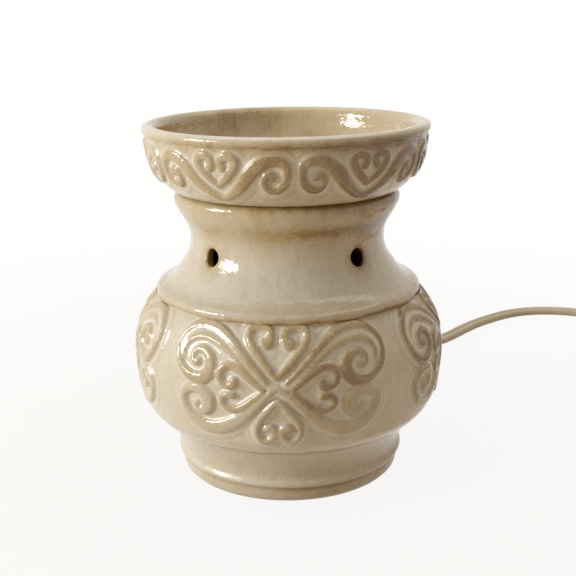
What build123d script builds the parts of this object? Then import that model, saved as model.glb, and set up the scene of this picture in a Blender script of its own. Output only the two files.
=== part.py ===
from build123d import *
import os
from math import atan2, cos, pi, radians, sin, sqrt, tan

os.makedirs("parts", exist_ok=True)

# Electric wax melt warmer, in millimetres. +Z is up, -Y is the front, and the
# origin is the point of the table under the middle of the ceramic body.

# Driving sizes of the ceramic body
body_radius = 65.7
body_height = 124.0
body_wall = 5.0
foot_ring_width = 6.0
foot_round = 2.5
ledge_width = 4.5
ledge_bottom = 4.5
ledge_thickness = 2.5
lip_width = 6.0
lip_rise = 1.5
vent_count = 4
vent_radius = 3.5
vent_drop = 24.0
vent_angle = -47.3
relief_rise = 1.6
strand_width = 3.0
panel_count = 4
panel_angle = -4.0
panel_half_angle = 38.0

# Driving sizes of the wax dish
dish_radius = 60.0
dish_height = 27.7
dish_floor = 5.1
dish_rim_width = 4.3
skirt_width = 3.8
skirt_depth = 5.0
dish_relief_rise = 1.2
dish_strand_width = 4.0
repeat_count = 6
repeat_angle = 32.5

# Driving sizes of the lamp
bulb_globe_radius = 26.0
bulb_length = 76.0
bulb_neck_radius = 5.5
glass_thickness = 0.6
cap_radius = 5.9
cap_thickness = 0.3
cap_height = 13.5
holder_radius = 11.5
holder_height = 34.0
holder_collar_radius = 14.0
holder_collar_height = 3.5
holder_floor = 17.5
shell_thickness = 0.6

# Driving sizes of the base
plate_thickness = 1.0
plate_flange_depth = 1.6
nipple_radius = 5.0
nipple_bore = 3.4
nipple_length = 11.0
nut_width = 14.0
nut_thickness = 2.3
terminal_radius = 2.4
pad_radius = 2.6
pad_thickness = 1.0
pad_count = 4
clip_count = 3
clip_width = 8.0
clip_thickness = 0.6
rivet_radius = 1.3
rivet_head_radius = 2.3
rivet_head_height = 0.6

# Driving sizes of the cord and of what is on it
cord_width = 8.0
cord_thickness = 4.0
wire_radius = 1.35
cord_angle = 165.0
cord_height = 13.0
cord_hole_radius = 5.0
boot_flange_radius = 6.5
boot_flange_thickness = 2.0
boot_length = 22.0
coil_turns = 5
coil_radius = 47.2
coil_turn_gap = 0.9
coil_layer_gap = 0.6
tie_width = 7.0
tie_thickness = 1.0
switch_width = 21.0
switch_end_width = 13.0
switch_height = 14.4
wheel_radius = 12.0
wheel_thickness = 4.6
wheel_notches = 30
axle_radius = 2.0
switch_screw_radius = 1.4
plug_length = 30.0
plug_thickness = 15.0
plug_relief_length = 20.0
blade_length = 16.5
blade_width = 6.4
blade_thickness = 1.5
blade_spacing = 12.7

# Clearances
seat_gap = 0.3
rivet_gap = 0.1
thread_gap = 0.35
overrun = 1.0

# Ceramic outlines, from the foot upwards, as shares of the body's radius and height
belly_shares = [
    (0.743, 0.065),
    (0.766, 0.113),
    (0.822, 0.161),
    (0.883, 0.210),
    (0.929, 0.258),
    (0.976, 0.323),
    (0.997, 0.387),
    (1.000, 0.435),
    (0.997, 0.484),
    (0.979, 0.532),
    (0.942, 0.581),
    (0.874, 0.650),
]
dome_shares = [
    (0.898, 0.661),
    (0.831, 0.681),
    (0.755, 0.710),
    (0.700, 0.742),
    (0.661, 0.774),
    (0.638, 0.806),
    (0.632, 0.839),
    (0.641, 0.871),
    (0.668, 0.903),
    (0.706, 0.935),
    (0.729, 0.968),
    (0.723, 0.988),
]
foot_edge_share = (0.716, 0.022)

# Dish outlines, as shares of its radius and height above its seat
flare_shares = [
    (0.793, 0.0),
    (0.848, 0.097),
    (0.907, 0.224),
    (0.942, 0.350),
    (0.965, 0.477),
    (0.979, 0.603),
    (0.987, 0.747),
    (1.000, 0.900),
]
hollow_shares = [
    (0.913, 0.670),
    (0.875, 0.440),
    (0.800, 0.290),
    (0.690, 0.215),
]

# Relief strands on one side of a body panel's middle, as shares of the panel's half
# angle, of the body's height and of the strand's width; the other side mirrors them
upper_scroll_shares = [
    (0.074, 0.485, 0.53),
    (0.311, 0.560, 0.93),
    (0.461, 0.598, 1.00),
    (0.605, 0.622, 1.07),
    (0.768, 0.628, 1.07),
    (0.911, 0.611, 1.00),
    (0.989, 0.576, 0.93),
    (0.997, 0.535, 1.00),
    (0.942, 0.499, 1.27),
    (0.837, 0.478, 1.53),
    (0.721, 0.477, 1.73),
    (0.647, 0.499, 1.73),
    (0.637, 0.531, 1.53),
    (0.689, 0.557, 1.27),
    (0.782, 0.565, 1.00),
    (0.850, 0.548, 0.87),
    (0.850, 0.526, 0.80),
]
lower_scroll_shares = [
    (0.068, 0.440, 0.60),
    (0.279, 0.371, 1.53),
    (0.426, 0.336, 1.87),
    (0.584, 0.315, 2.00),
    (0.737, 0.315, 1.87),
    (0.874, 0.338, 1.53),
    (0.945, 0.374, 1.33),
    (0.916, 0.410, 1.40),
    (0.816, 0.430, 1.60),
    (0.711, 0.426, 1.80),
    (0.653, 0.401, 1.73),
    (0.674, 0.374, 1.33),
    (0.747, 0.361, 0.93),
]
top_heart_shares = [
    (0.005, 0.503, 0.80),
    (0.142, 0.550, 0.93),
    (0.226, 0.577, 0.93),
    (0.282, 0.605, 0.93),
    (0.253, 0.630, 0.93),
    (0.168, 0.639, 0.93),
    (0.095, 0.626, 1.00),
    (0.084, 0.603, 1.13),
]
side_heart_shares = [
    (0.142, 0.460, 0.80),
    (0.237, 0.486, 1.00),
    (0.353, 0.510, 1.07),
    (0.453, 0.520, 1.00),
    (0.532, 0.506, 0.93),
    (0.537, 0.481, 1.00),
    (0.468, 0.468, 1.13),
]
side_heart_low_shares = [
    (0.142, 0.459, 0.80),
    (0.242, 0.427, 0.93),
    (0.363, 0.395, 1.00),
    (0.458, 0.395, 0.93),
    (0.516, 0.419, 0.93),
    (0.489, 0.442, 1.00),
    (0.426, 0.444, 1.13),
]
bottom_heart_shares = [
    (0.005, 0.427, 0.73),
    (0.063, 0.400, 0.87),
    (0.126, 0.373, 0.93),
    (0.195, 0.340, 1.00),
    (0.221, 0.314, 1.00),
    (0.179, 0.290, 1.00),
    (0.089, 0.287, 1.00),
    (0.045, 0.308, 1.07),
    (0.061, 0.327, 1.13),
]

# The dish's running scroll and hearts, on one side of a repeat's middle, the same
# way, with the dish's height above its seat
wave_shares = [
    (0.013, 0.166, 0.75),
    (0.117, 0.206, 0.85),
    (0.230, 0.329, 0.95),
    (0.343, 0.480, 1.00),
    (0.463, 0.625, 1.05),
    (0.603, 0.711, 1.10),
    (0.757, 0.718, 1.10),
    (0.877, 0.625, 1.05),
    (0.917, 0.480, 1.00),
    (0.870, 0.336, 1.00),
    (0.743, 0.274, 1.05),
    (0.617, 0.329, 1.05),
    (0.577, 0.444, 0.90),
    (0.633, 0.523, 0.75),
]
wave_heart_shares = [
    (0.013, 0.365, 0.50),
    (0.097, 0.430, 0.60),
    (0.183, 0.523, 0.70),
    (0.247, 0.632, 0.80),
    (0.220, 0.718, 0.85),
    (0.137, 0.740, 0.90),
    (0.070, 0.682, 0.85),
    (0.060, 0.617, 0.75),
]

# The free cord's route, chosen by hand: from the tapered sleeve behind the
# body, over the table to the switch, and on from the switch to the coil
lead_points = [
    (19.48, 72.71, 13.0),
    (24.66, 92.03, 13.0),
    (37.5, 107.5, 9.4),
    (55.0, 119.0, 5.4),
    (75.5, 129.5, 4.4),
    (96.0, 147.5, 4.3),
    (112.5, 168.5, 4.4),
    (128.0, 183.0, 4.3),
    (146.0, 195.5, 4.4),
    (166.5, 200.0, 4.3),
    (188.5, 194.5, 4.4),
    (206.5, 178.5, 4.4),
    (217.5, 157.0, 4.5),
    (224.5, 137.5, 4.6),
]
tail_points = [
    (242.0, 88.5, 4.6),
    (248.4, 70.6, 5.0),
    (251.5, 51.5, 5.6),
    (251.5, 34.0, 5.6),
]

# Radii and heights that follow from the sizes above
foot_edge = (foot_edge_share[0] * body_radius, foot_edge_share[1] * body_height)
foot_flat_radius = foot_edge[0] - foot_round
foot_inner_radius = foot_flat_radius - foot_ring_width
ledge_radius = foot_inner_radius - ledge_width
vent_height = body_height - vent_drop
ledge_top = ledge_bottom + ledge_thickness
plate_top = ledge_bottom - seat_gap
plate_bottom = plate_top - plate_thickness
plate_radius = foot_inner_radius - 2 * seat_gap
dish_seat = body_height + seat_gap
mouth_radius = dome_shares[-1][0] * body_radius - lip_width
holder_top = plate_top + holder_height
cavity_bottom = plate_top + holder_floor
shell_inner_radius = cap_radius + thread_gap
shell_outer_radius = shell_inner_radius + shell_thickness
cavity_radius = shell_outer_radius + seat_gap
contact_thickness = 3 * seat_gap
bulb_tip_bottom = cavity_bottom + contact_thickness + seat_gap
bulb_top = bulb_tip_bottom + bulb_length
globe_centre = bulb_top - bulb_globe_radius


def radial_plane(angle):
    """A plane through the axis: its x runs outwards at this angle, its y is up."""
    out_x, out_y = cos(radians(angle)), sin(radians(angle))
    return Plane(origin=(0, 0, 0), x_dir=(out_x, out_y, 0), z_dir=(out_y, -out_x, 0))


def side_plane(angle, height):
    """A plane that faces outwards at this angle, with its origin on the axis."""
    out_x, out_y = cos(radians(angle)), sin(radians(angle))
    return Plane(origin=(0, 0, height), x_dir=(-out_y, out_x, 0), z_dir=(out_x, out_y, 0))


def front_angle(theta):
    """The angle about +Z of a place given from the front towards +X."""
    return theta - 90


def scaled(shares, radius, height, base=0.0):
    return [(radius * r, base + height * z) for r, z in shares]


def wall_radius(outline, height):
    """The radius of an outline of radii and heights, taken straight between its points."""
    for (low_r, low_z), (high_r, high_z) in zip(outline, outline[1:]):
        if low_z <= height <= high_z:
            return low_r + (high_r - low_r) * (height - low_z) / (high_z - low_z)
    return outline[-1][0]


def strand_outline(shares, side, half_angle, outline, base, height, width):
    """Draws a tapered strand seen square from outside, on one side of its pattern's middle."""
    spots = []
    for angle_share, height_share, width_share in shares:
        level = base + height * height_share
        across = wall_radius(outline, level) * sin(radians(half_angle * angle_share))
        spots.append((Vector(side * across, level), width * width_share / 2))
    places = [spot for spot, half in spots]
    ways = [after - before for before, after in zip(places[:1] + places, places[1:] + places[-1:])]
    edges = []
    for turn in (90, -90):
        rows = zip(spots, ways)
        edges.append([spot + way.normalized().rotate(Axis.Z, turn) * half for (spot, half), way in rows])
    left, right = edges
    start, start_half = spots[0]
    end, end_half = spots[-1]
    Spline(*left)
    ThreePointArc(left[-1], end + ways[-1].normalized() * end_half, right[-1])
    Spline(*reversed(right))
    ThreePointArc(right[0], start - ways[0].normalized() * start_half, left[0])


def run_radii(points):
    """The largest even radius that each corner's two runs allow."""
    vectors = [Vector(*b) - Vector(*a) for a, b in zip(points, points[1:])]
    radii = []
    for before, after in zip(vectors, vectors[1:]):
        shorter = min(before.length, after.length)
        radii.append(0.45 * shorter / tan(radians(before.get_angle(after)) / 2))
    return radii


# Ceramic body: a vase-shaped shell with a foot ring, an inner ledge for the
# base plate, a mouth for the dish, vents round the neck and a cord hole. Its
# belly has a panel of raised scrolls and hearts in each sector.
belly = scaled(belly_shares, body_radius, body_height)
dome = scaled(dome_shares, body_radius, body_height)
inner_wall = [(r - body_wall, z) for r, z in belly[1:11] + dome[2:10]]
ledge_outer_radius = inner_wall[0][0] - seat_gap * 4
mouth_bottom = inner_wall[-1][1]
mouth_top = body_height - lip_rise
boot_seat = belly[1][0] + seat_gap
panel_shares = (
    upper_scroll_shares,
    lower_scroll_shares,
    top_heart_shares,
    side_heart_shares,
    side_heart_low_shares,
    bottom_heart_shares,
)
with BuildPart() as body_relief:
    with BuildSketch(side_plane(front_angle(0), 0).offset(body_radius / 2)):
        for strand_shares in panel_shares:
            for side in (-1, 1):
                with BuildLine():
                    strand_outline(
                        strand_shares, side, panel_half_angle, belly, 0, body_height, strand_width
                    )
                make_face()
    extrude(amount=body_radius)
    with BuildSketch(Plane.XZ):
        with BuildLine():
            proud = Spline(*[(r + relief_rise, z) for r, z in belly[2:]])
            sunk = Spline(*[(r - body_wall / 2, z) for r, z in belly[2:]])
            Line(proud @ 0, sunk @ 0)
            Line(proud @ 1, sunk @ 1)
        make_face()
    revolve(axis=Axis.Z, mode=Mode.INTERSECT)
with BuildPart() as body_sector:
    with BuildSketch(radial_plane(front_angle(-180 / panel_count))):
        with BuildLine():
            foot_start = (foot_inner_radius, pad_thickness)
            foot_end = (foot_flat_radius, pad_thickness)
            Line(foot_start, foot_end)
            Spline(foot_end, foot_edge, belly[0])
            Spline(*belly)
            Line(belly[-1], dome[0])
            Spline(*dome)
            lip_crest = (dome[-1][0] - lip_width / 2, body_height)
            mouth_edge = (mouth_radius, mouth_top)
            ThreePointArc(dome[-1], lip_crest, mouth_edge)
            Line(mouth_edge, inner_wall[-1])
            ledge_corner = (ledge_outer_radius, ledge_top)
            Spline(*reversed(inner_wall))
            Line(inner_wall[0], ledge_corner)
            Polyline(
                ledge_corner,
                (ledge_radius, ledge_top),
                (ledge_radius, ledge_bottom),
                (foot_inner_radius, ledge_bottom),
                foot_start,
            )
        make_face()
    revolve(axis=Axis.Z, revolution_arc=360 / panel_count)
    add(body_relief.part)
with BuildPart() as warmer_body:
    with PolarLocations(0, panel_count, start_angle=panel_angle):
        add(body_sector.part)
    for index in range(vent_count):
        angle = front_angle(vent_angle + 360 / vent_count * index)
        with BuildSketch(side_plane(angle, vent_height)):
            Circle(vent_radius)
        extrude(amount=body_radius, mode=Mode.SUBTRACT)
    cord_plane = side_plane(front_angle(cord_angle), cord_height)
    with BuildSketch(cord_plane):
        Circle(cord_hole_radius)
    extrude(amount=body_radius + overrun, mode=Mode.SUBTRACT)
    with BuildSketch(cord_plane.offset(boot_seat)):
        Circle(boot_flange_radius + 2 * seat_gap)
    extrude(amount=body_wall, mode=Mode.SUBTRACT)
warmer_body.part.label = "warmer_body"
export_step(warmer_body.part, "parts/warmer_body.step")

# Wax dish: a flared bowl with a round rim and a skirt that sits in the mouth.
# A raised running scroll with hearts goes round its wall.
flare = scaled(flare_shares, dish_radius, dish_height, dish_seat)
hollow = scaled(hollow_shares, dish_radius, dish_height, dish_seat)
dish_top = dish_seat + dish_height
dish_inside = dish_seat + dish_floor
skirt_outer_radius = mouth_radius - 5 * seat_gap
skirt_inner_radius = skirt_outer_radius - skirt_width
with BuildPart() as dish_relief:
    with BuildSketch(side_plane(front_angle(0), 0).offset(dish_radius / 2)):
        for strand_shares in (wave_shares, wave_heart_shares):
            for side in (-1, 1):
                with BuildLine():
                    strand_outline(
                        strand_shares,
                        side,
                        180 / repeat_count,
                        flare,
                        dish_seat,
                        dish_height,
                        dish_strand_width,
                    )
                make_face()
    extrude(amount=dish_radius)
    with BuildSketch(Plane.XZ):
        with BuildLine():
            proud = Spline(*[(r + dish_relief_rise, z) for r, z in flare])
            sunk = Spline(*[(r - dish_rim_width / 2, z) for r, z in flare])
            Line(proud @ 0, sunk @ 0)
            Line(proud @ 1, sunk @ 1)
        make_face()
    revolve(axis=Axis.Z, mode=Mode.INTERSECT)
with BuildPart() as dish_sector:
    with BuildSketch(radial_plane(front_angle(-180 / repeat_count))):
        with BuildLine():
            rim_outer = flare[-1]
            rim_inner = (dish_radius - dish_rim_width, rim_outer[1])
            hollow_end = (skirt_inner_radius, dish_inside)
            Polyline(
                (0, dish_inside),
                (0, dish_seat),
                (skirt_inner_radius, dish_seat),
                (skirt_inner_radius, dish_seat - skirt_depth),
                (skirt_outer_radius, dish_seat - skirt_depth),
                (skirt_outer_radius, dish_seat),
                flare[0],
            )
            Spline(*flare)
            ThreePointArc(rim_outer, (dish_radius - dish_rim_width / 2, dish_top), rim_inner)
            Spline(rim_inner, *hollow, hollow_end)
            Line(hollow_end, (0, dish_inside))
        make_face()
    revolve(axis=Axis.Z, revolution_arc=360 / repeat_count)
    add(dish_relief.part)
with BuildPart() as wax_dish:
    with PolarLocations(0, repeat_count, start_angle=repeat_angle):
        add(dish_sector.part)
wax_dish.part.label = "wax_dish"
export_step(wax_dish.part, "parts/wax_dish.step")

# Base plate: a stamped disc with a turned-down flange, vents and rivet holes
rivet_circle = ledge_radius - clip_width
vent_hole_radius = rivet_radius * 1.4
vent_hole_circle = (nipple_radius + rivet_circle) / 2 + rivet_radius
clip_angles = [front_angle(cord_angle) + 60 + 360 / clip_count * i for i in range(clip_count)]
with BuildPart() as base_plate:
    with BuildSketch(Plane.XY.offset(plate_bottom)):
        Circle(plate_radius)
        Circle(nipple_radius + rivet_gap, mode=Mode.SUBTRACT)
        with PolarLocations(vent_hole_circle, 12):
            Circle(vent_hole_radius, mode=Mode.SUBTRACT)
        with PolarLocations(rivet_circle, clip_count, start_angle=clip_angles[0]):
            Circle(rivet_radius + rivet_gap, mode=Mode.SUBTRACT)
    extrude(amount=plate_thickness)
    with BuildSketch(Plane.XY.offset(plate_bottom)):
        Circle(plate_radius)
        Circle(plate_radius - plate_thickness, mode=Mode.SUBTRACT)
    extrude(amount=-plate_flange_depth)
base_plate.part.label = "base_plate"
export_step(base_plate.part, "parts/base_plate.step")

# Spring clips: bent strips that rise from the plate and hook over the ledge
clip_level = plate_top + clip_thickness / 2
clip_hook_level = ledge_top + seat_gap + clip_thickness / 2
clip_rise_radius = ledge_radius - 4 * clip_thickness
clip_crest = clip_hook_level + 3 * clip_thickness
with BuildPart() as spring_clips:
    for angle in clip_angles:
        with BuildSketch(radial_plane(angle)):
            with BuildLine():
                FilletPolyline(
                    (rivet_circle - clip_width / 2, clip_level),
                    (clip_rise_radius, clip_level),
                    (clip_rise_radius, clip_crest),
                    (ledge_radius + 2 * clip_thickness, clip_crest),
                    (ledge_radius + 5 * clip_thickness, clip_hook_level),
                    radius=clip_thickness,
                )
            trace(line_width=clip_thickness)
        extrude(amount=clip_width / 2, both=True)
    with BuildSketch(Plane.XY.offset(plate_top)):
        with PolarLocations(rivet_circle, clip_count, start_angle=clip_angles[0]):
            Circle(rivet_radius + rivet_gap)
    extrude(amount=clip_thickness + overrun, mode=Mode.SUBTRACT)
spring_clips.part.label = "spring_clips"
export_step(spring_clips.part, "parts/spring_clips.step")

# Clip rivets: a shank with a head under the plate and a head on the clip
with BuildPart() as clip_rivets:
    with BuildSketch(Plane.XY.offset(plate_bottom)):
        with PolarLocations(rivet_circle, clip_count, start_angle=clip_angles[0]):
            Circle(rivet_radius)
    extrude(amount=plate_thickness + clip_thickness)
    for level, way in ((plate_bottom, -1), (plate_top + clip_thickness, 1)):
        with BuildSketch(Plane.XY.offset(level)):
            with PolarLocations(rivet_circle, clip_count, start_angle=clip_angles[0]):
                Circle(rivet_head_radius)
        extrude(amount=way * rivet_head_height)
clip_rivets.part.label = "clip_rivets"
export_step(clip_rivets.part, "parts/clip_rivets.step")

# Rubber pads under the foot ring
pad_circle = (foot_inner_radius + foot_flat_radius) / 2
with BuildPart() as rubber_feet:
    with BuildSketch(Plane.XY):
        with PolarLocations(pad_circle, pad_count, start_angle=180 / pad_count):
            Circle(pad_radius)
    extrude(amount=pad_thickness)
rubber_feet.part.label = "rubber_feet"
export_step(rubber_feet.part, "parts/rubber_feet.step")

# Threaded nipple and hex nut that hold the lamp holder on the plate
nipple_bottom = plate_bottom - nut_thickness
with BuildPart() as mounting_nipple:
    with BuildSketch(Plane.XY.offset(nipple_bottom)):
        Circle(nipple_radius)
        Circle(nipple_bore, mode=Mode.SUBTRACT)
    extrude(amount=nipple_length)
mounting_nipple.part.label = "mounting_nipple"
export_step(mounting_nipple.part, "parts/mounting_nipple.step")

with BuildPart() as nipple_nut:
    with BuildSketch(Plane.XY.offset(nipple_bottom)):
        RegularPolygon(nut_width / 2, 6, major_radius=False)
        Circle(nipple_radius + rivet_gap, mode=Mode.SUBTRACT)
    extrude(amount=nut_thickness)
nipple_nut.part.label = "nipple_nut"
export_step(nipple_nut.part, "parts/nipple_nut.step")

# Lamp holder: a moulded body with a collar, a socket above and a nipple bore below
terminal_shank = terminal_radius / 2
terminal_head = terminal_radius / 2
terminal_depth = holder_radius / 4
terminal_level = plate_top + holder_collar_height + 2 * terminal_radius
nipple_top = nipple_bottom + nipple_length
terminal_angles = [front_angle(cord_angle) + side for side in (-90, 90)]
with BuildPart() as lampholder_body:
    with BuildSketch(Plane.XZ):
        with BuildLine():
            Polyline(
                (nipple_radius + rivet_gap, plate_top),
                (holder_collar_radius, plate_top),
                (holder_collar_radius, plate_top + holder_collar_height),
                (holder_radius, plate_top + holder_collar_height),
                (holder_radius, holder_top),
                (cavity_radius, holder_top),
                (cavity_radius, cavity_bottom),
                (0, cavity_bottom),
                (0, nipple_top + seat_gap),
                (nipple_radius + rivet_gap, nipple_top + seat_gap),
                close=True,
            )
        make_face()
    revolve(axis=Axis.Z)
    for angle in terminal_angles:
        with BuildSketch(side_plane(angle, terminal_level).offset(holder_radius - terminal_depth)):
            Circle(terminal_shank + rivet_gap)
        extrude(amount=terminal_depth + overrun, mode=Mode.SUBTRACT)
lampholder_body.part.label = "lampholder_body"
export_step(lampholder_body.part, "parts/lampholder_body.step")

# Screw shell and centre contact inside the lamp holder
shell_bottom = bulb_tip_bottom + seat_gap
with BuildPart() as lampholder_shell:
    with BuildSketch(Plane.XY.offset(shell_bottom)):
        Circle(shell_outer_radius)
        Circle(shell_inner_radius, mode=Mode.SUBTRACT)
    extrude(amount=holder_top - shell_bottom - seat_gap)
    with BuildSketch(Plane.XY.offset(cavity_bottom)):
        Circle(shell_outer_radius)
        Circle(cap_radius / 2 + seat_gap * 3, mode=Mode.SUBTRACT)
    extrude(amount=shell_thickness)
    with BuildSketch(Plane.XY.offset(cavity_bottom)):
        Circle(shell_outer_radius)
        Circle(shell_inner_radius, mode=Mode.SUBTRACT)
    extrude(amount=shell_bottom - cavity_bottom)
lampholder_shell.part.label = "lampholder_shell"
export_step(lampholder_shell.part, "parts/lampholder_shell.step")

with BuildPart() as lampholder_contact:
    with BuildSketch(Plane.XY.offset(cavity_bottom)):
        Circle(cap_radius / 2)
    extrude(amount=contact_thickness)
lampholder_contact.part.label = "lampholder_contact"
export_step(lampholder_contact.part, "parts/lampholder_contact.step")

# Terminal screws in the sides of the lamp holder
with BuildPart() as terminal_screws:
    for angle in terminal_angles:
        with BuildSketch(side_plane(angle, terminal_level).offset(holder_radius - terminal_depth)):
            Circle(terminal_shank)
        extrude(amount=terminal_depth + seat_gap)
        with BuildSketch(side_plane(angle, terminal_level).offset(holder_radius + seat_gap)):
            Circle(terminal_radius)
        extrude(amount=terminal_head)
terminal_screws.part.label = "terminal_screws"
export_step(terminal_screws.part, "parts/terminal_screws.step")

# Bulb: glass globe with a neck, screw cap, insulator and solder tip
tip_height = cap_height / 15
insulator_height = cap_height / 6
cap_bottom = bulb_tip_bottom + tip_height + insulator_height
cap_top = cap_bottom + cap_height
neck_bottom = cap_top - cap_height / 4
neck_top = cap_top + cap_height / 8
shoulder_share = 0.85
shoulder_angle = atan2(globe_centre - neck_top, shoulder_share * bulb_globe_radius)


def bulb_outline(inset):
    """The glass outline, drawn smaller by the inset on every side."""
    ball = bulb_globe_radius - inset
    neck = bulb_neck_radius - inset
    crown = (0, globe_centre + ball)
    flare_start = (neck, neck_top + inset)
    shoulder = (ball * cos(shoulder_angle), globe_centre - ball * sin(shoulder_angle))
    shoulder_way = (sin(shoulder_angle), cos(shoulder_angle))
    Polyline(crown, (0, neck_bottom), (neck, neck_bottom), flare_start)
    Spline(flare_start, shoulder, tangents=((0, 1), shoulder_way))
    ThreePointArc(shoulder, (ball, globe_centre), crown)


with BuildPart() as bulb_globe:
    with BuildSketch(Plane.XZ):
        with BuildLine():
            bulb_outline(0)
        make_face()
    revolve(axis=Axis.Z)
    with BuildSketch(Plane.XZ):
        with BuildLine():
            bulb_outline(glass_thickness)
        make_face()
    revolve(axis=Axis.Z, mode=Mode.SUBTRACT)
bulb_globe.part.label = "bulb_globe"
export_step(bulb_globe.part, "parts/bulb_globe.step")

with BuildPart() as bulb_cap:
    with BuildSketch(Plane.XY.offset(cap_bottom)):
        Circle(cap_radius)
        Circle(cap_radius - cap_thickness, mode=Mode.SUBTRACT)
    extrude(amount=cap_height)
bulb_cap.part.label = "bulb_cap"
export_step(bulb_cap.part, "parts/bulb_cap.step")

tip_radius = cap_radius / 3
with BuildPart() as bulb_insulator:
    with BuildSketch(Plane.XY.offset(cap_bottom - insulator_height)):
        Circle(tip_radius * 1.4)
    with BuildSketch(Plane.XY.offset(cap_bottom)):
        Circle(cap_radius - cap_thickness / 2)
    loft()
bulb_insulator.part.label = "bulb_insulator"
export_step(bulb_insulator.part, "parts/bulb_insulator.step")

with BuildPart() as bulb_tip:
    with BuildSketch(Plane.XY.offset(bulb_tip_bottom)):
        Circle(tip_radius)
    extrude(amount=tip_height)
bulb_tip.part.label = "bulb_tip"
export_step(bulb_tip.part, "parts/bulb_tip.step")

# Glass stem, its two wires and the filament between them
stem_radius = bulb_neck_radius / 3
stem_flange_radius = bulb_neck_radius - glass_thickness - seat_gap
stem_bottom = neck_bottom + seat_gap
stem_top = globe_centre - bulb_globe_radius / 2
filament_span = bulb_globe_radius * 0.7
filament_level = globe_centre - bulb_globe_radius / 4
filament_radius = glass_thickness / 2
support_radius = filament_radius * 0.8
with BuildPart() as bulb_stem:
    with BuildSketch(Plane.XZ):
        with BuildLine():
            flange_top = stem_bottom + stem_radius
            waist = (stem_radius, flange_top + 3 * stem_radius)
            Polyline(
                waist,
                (stem_radius, stem_top),
                (0, stem_top),
                (0, stem_bottom),
                (stem_flange_radius, stem_bottom),
                (stem_flange_radius, flange_top),
            )
            Spline((stem_flange_radius, flange_top), waist, tangents=((0, 1), (0, 1)))
        make_face()
    revolve(axis=Axis.Z)
bulb_stem.part.label = "bulb_stem"
export_step(bulb_stem.part, "parts/bulb_stem.step")

with BuildPart() as filament_wires:
    for side in (-1, 1):
        with BuildLine() as wire_line:
            foot = (side * stem_radius / 2, 0, stem_top + rivet_gap)
            head = (side * filament_span / 2, 0, filament_level - filament_radius - rivet_gap)
            Line(foot, head)
        with BuildSketch(Plane(origin=wire_line.line @ 0, z_dir=wire_line.line % 0)):
            Circle(support_radius)
        sweep(path=wire_line.line)
filament_wires.part.label = "filament_wires"
export_step(filament_wires.part, "parts/filament_wires.step")

with BuildPart() as filament:
    with BuildLine() as filament_line:
        ThreePointArc(
            (-filament_span / 2, 0, filament_level),
            (0, 0, filament_level + filament_span / 6),
            (filament_span / 2, 0, filament_level),
        )
    with BuildSketch(Plane(origin=filament_line.line @ 0, z_dir=filament_line.line % 0)):
        Circle(filament_radius)
    sweep(path=filament_line.line)
filament.part.label = "filament"
export_step(filament.part, "parts/filament.step")

# Tapered cord sleeve in the foot's wall: an inner barb, a neck through the
# hole, a flange on its flat seat outside, and a taper round the cord
barb_outer = ledge_outer_radius - seat_gap
barb_inner = barb_outer - boot_flange_thickness
barb_radius = min(cord_height - ledge_top - seat_gap, boot_flange_radius)
boot_neck_radius = cord_hole_radius - seat_gap
flange_inner = boot_seat + seat_gap
flange_outer = flange_inner + boot_flange_thickness
boot_end = flange_outer + boot_length
boot_end_radius = cord_width / 2 + seat_gap
with BuildPart() as strain_relief:
    for near, far, radius in (
        (barb_inner, barb_outer, barb_radius),
        (barb_outer, flange_inner, boot_neck_radius),
        (flange_inner, flange_outer, boot_flange_radius),
    ):
        with BuildSketch(cord_plane.offset(near)):
            Circle(radius)
        extrude(amount=far - near)
    with BuildSketch(cord_plane.offset(flange_outer)):
        Circle(boot_neck_radius + seat_gap)
    with BuildSketch(cord_plane.offset(boot_end)):
        Circle(boot_end_radius)
    loft()
strain_relief.part.label = "strain_relief"
export_step(strain_relief.part, "parts/strain_relief.step")
exit_point = cord_plane.offset(boot_end).origin
print("sleeve ends at", tuple(round(value, 2) for value in exit_point))

# Inner lead: two insulated wires from the sleeve to the terminal screws
inner_route_shares = [(0.74, 0.276, 0), (0.45, 0.82, 1), (0.22, 1.03, 1)]
wire_pitch = wire_radius + seat_gap
terminal_side = holder_radius + seat_gap + wire_radius
cord_out = cord_plane.z_dir
cord_left = cord_plane.x_dir
with BuildPart() as inner_lead:
    for side in (-1, 1):
        places = [(barb_inner - seat_gap, wire_pitch, cord_height)]
        for out, across, drop in inner_route_shares:
            level = cord_height + drop * (terminal_level - cord_height)
            places.append((barb_inner * out, terminal_side * across, level))
        places.append((terminal_radius + seat_gap, terminal_side, terminal_level))
        points = [
            (
                cord_out.X * out + cord_left.X * side * across,
                cord_out.Y * out + cord_left.Y * side * across,
                level,
            )
            for out, across, level in places
        ]
        with BuildLine() as wire_route:
            FilletPolyline(*points, radius=run_radii(points))
        with BuildSketch(Plane(origin=wire_route.line @ 0, z_dir=wire_route.line % 0)):
            Circle(wire_radius)
        sweep(path=wire_route.line)
inner_lead.part.label = "inner_lead"
export_step(inner_lead.part, "parts/inner_lead.step")


def cord_section(start, way):
    """The flat twin cord's section, standing on its narrow edge."""
    return Plane(origin=start, x_dir=(0, 0, 1), z_dir=way)


section_area = (cord_width - cord_thickness) * cord_thickness + pi * cord_thickness**2 / 4

# Free cord on the table, from the sleeve to the switch
print("lead radii", [round(radius, 1) for radius in run_radii(lead_points)])
with BuildPart() as cord_lead:
    with BuildLine() as lead_line:
        FilletPolyline(*lead_points, radius=run_radii(lead_points))
    with BuildSketch(cord_section(lead_line.line @ 0, lead_line.line % 0)):
        SlotOverall(cord_width, cord_thickness)
    sweep(path=lead_line.line)
cord_lead.part.label = "cord_lead"
export_step(cord_lead.part, "parts/cord_lead.step")
lead_length = lead_line.wire().length
print("lead length", round(lead_length, 1))
print("lead volume share", round(cord_lead.part.volume / (section_area * lead_length), 4))

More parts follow.
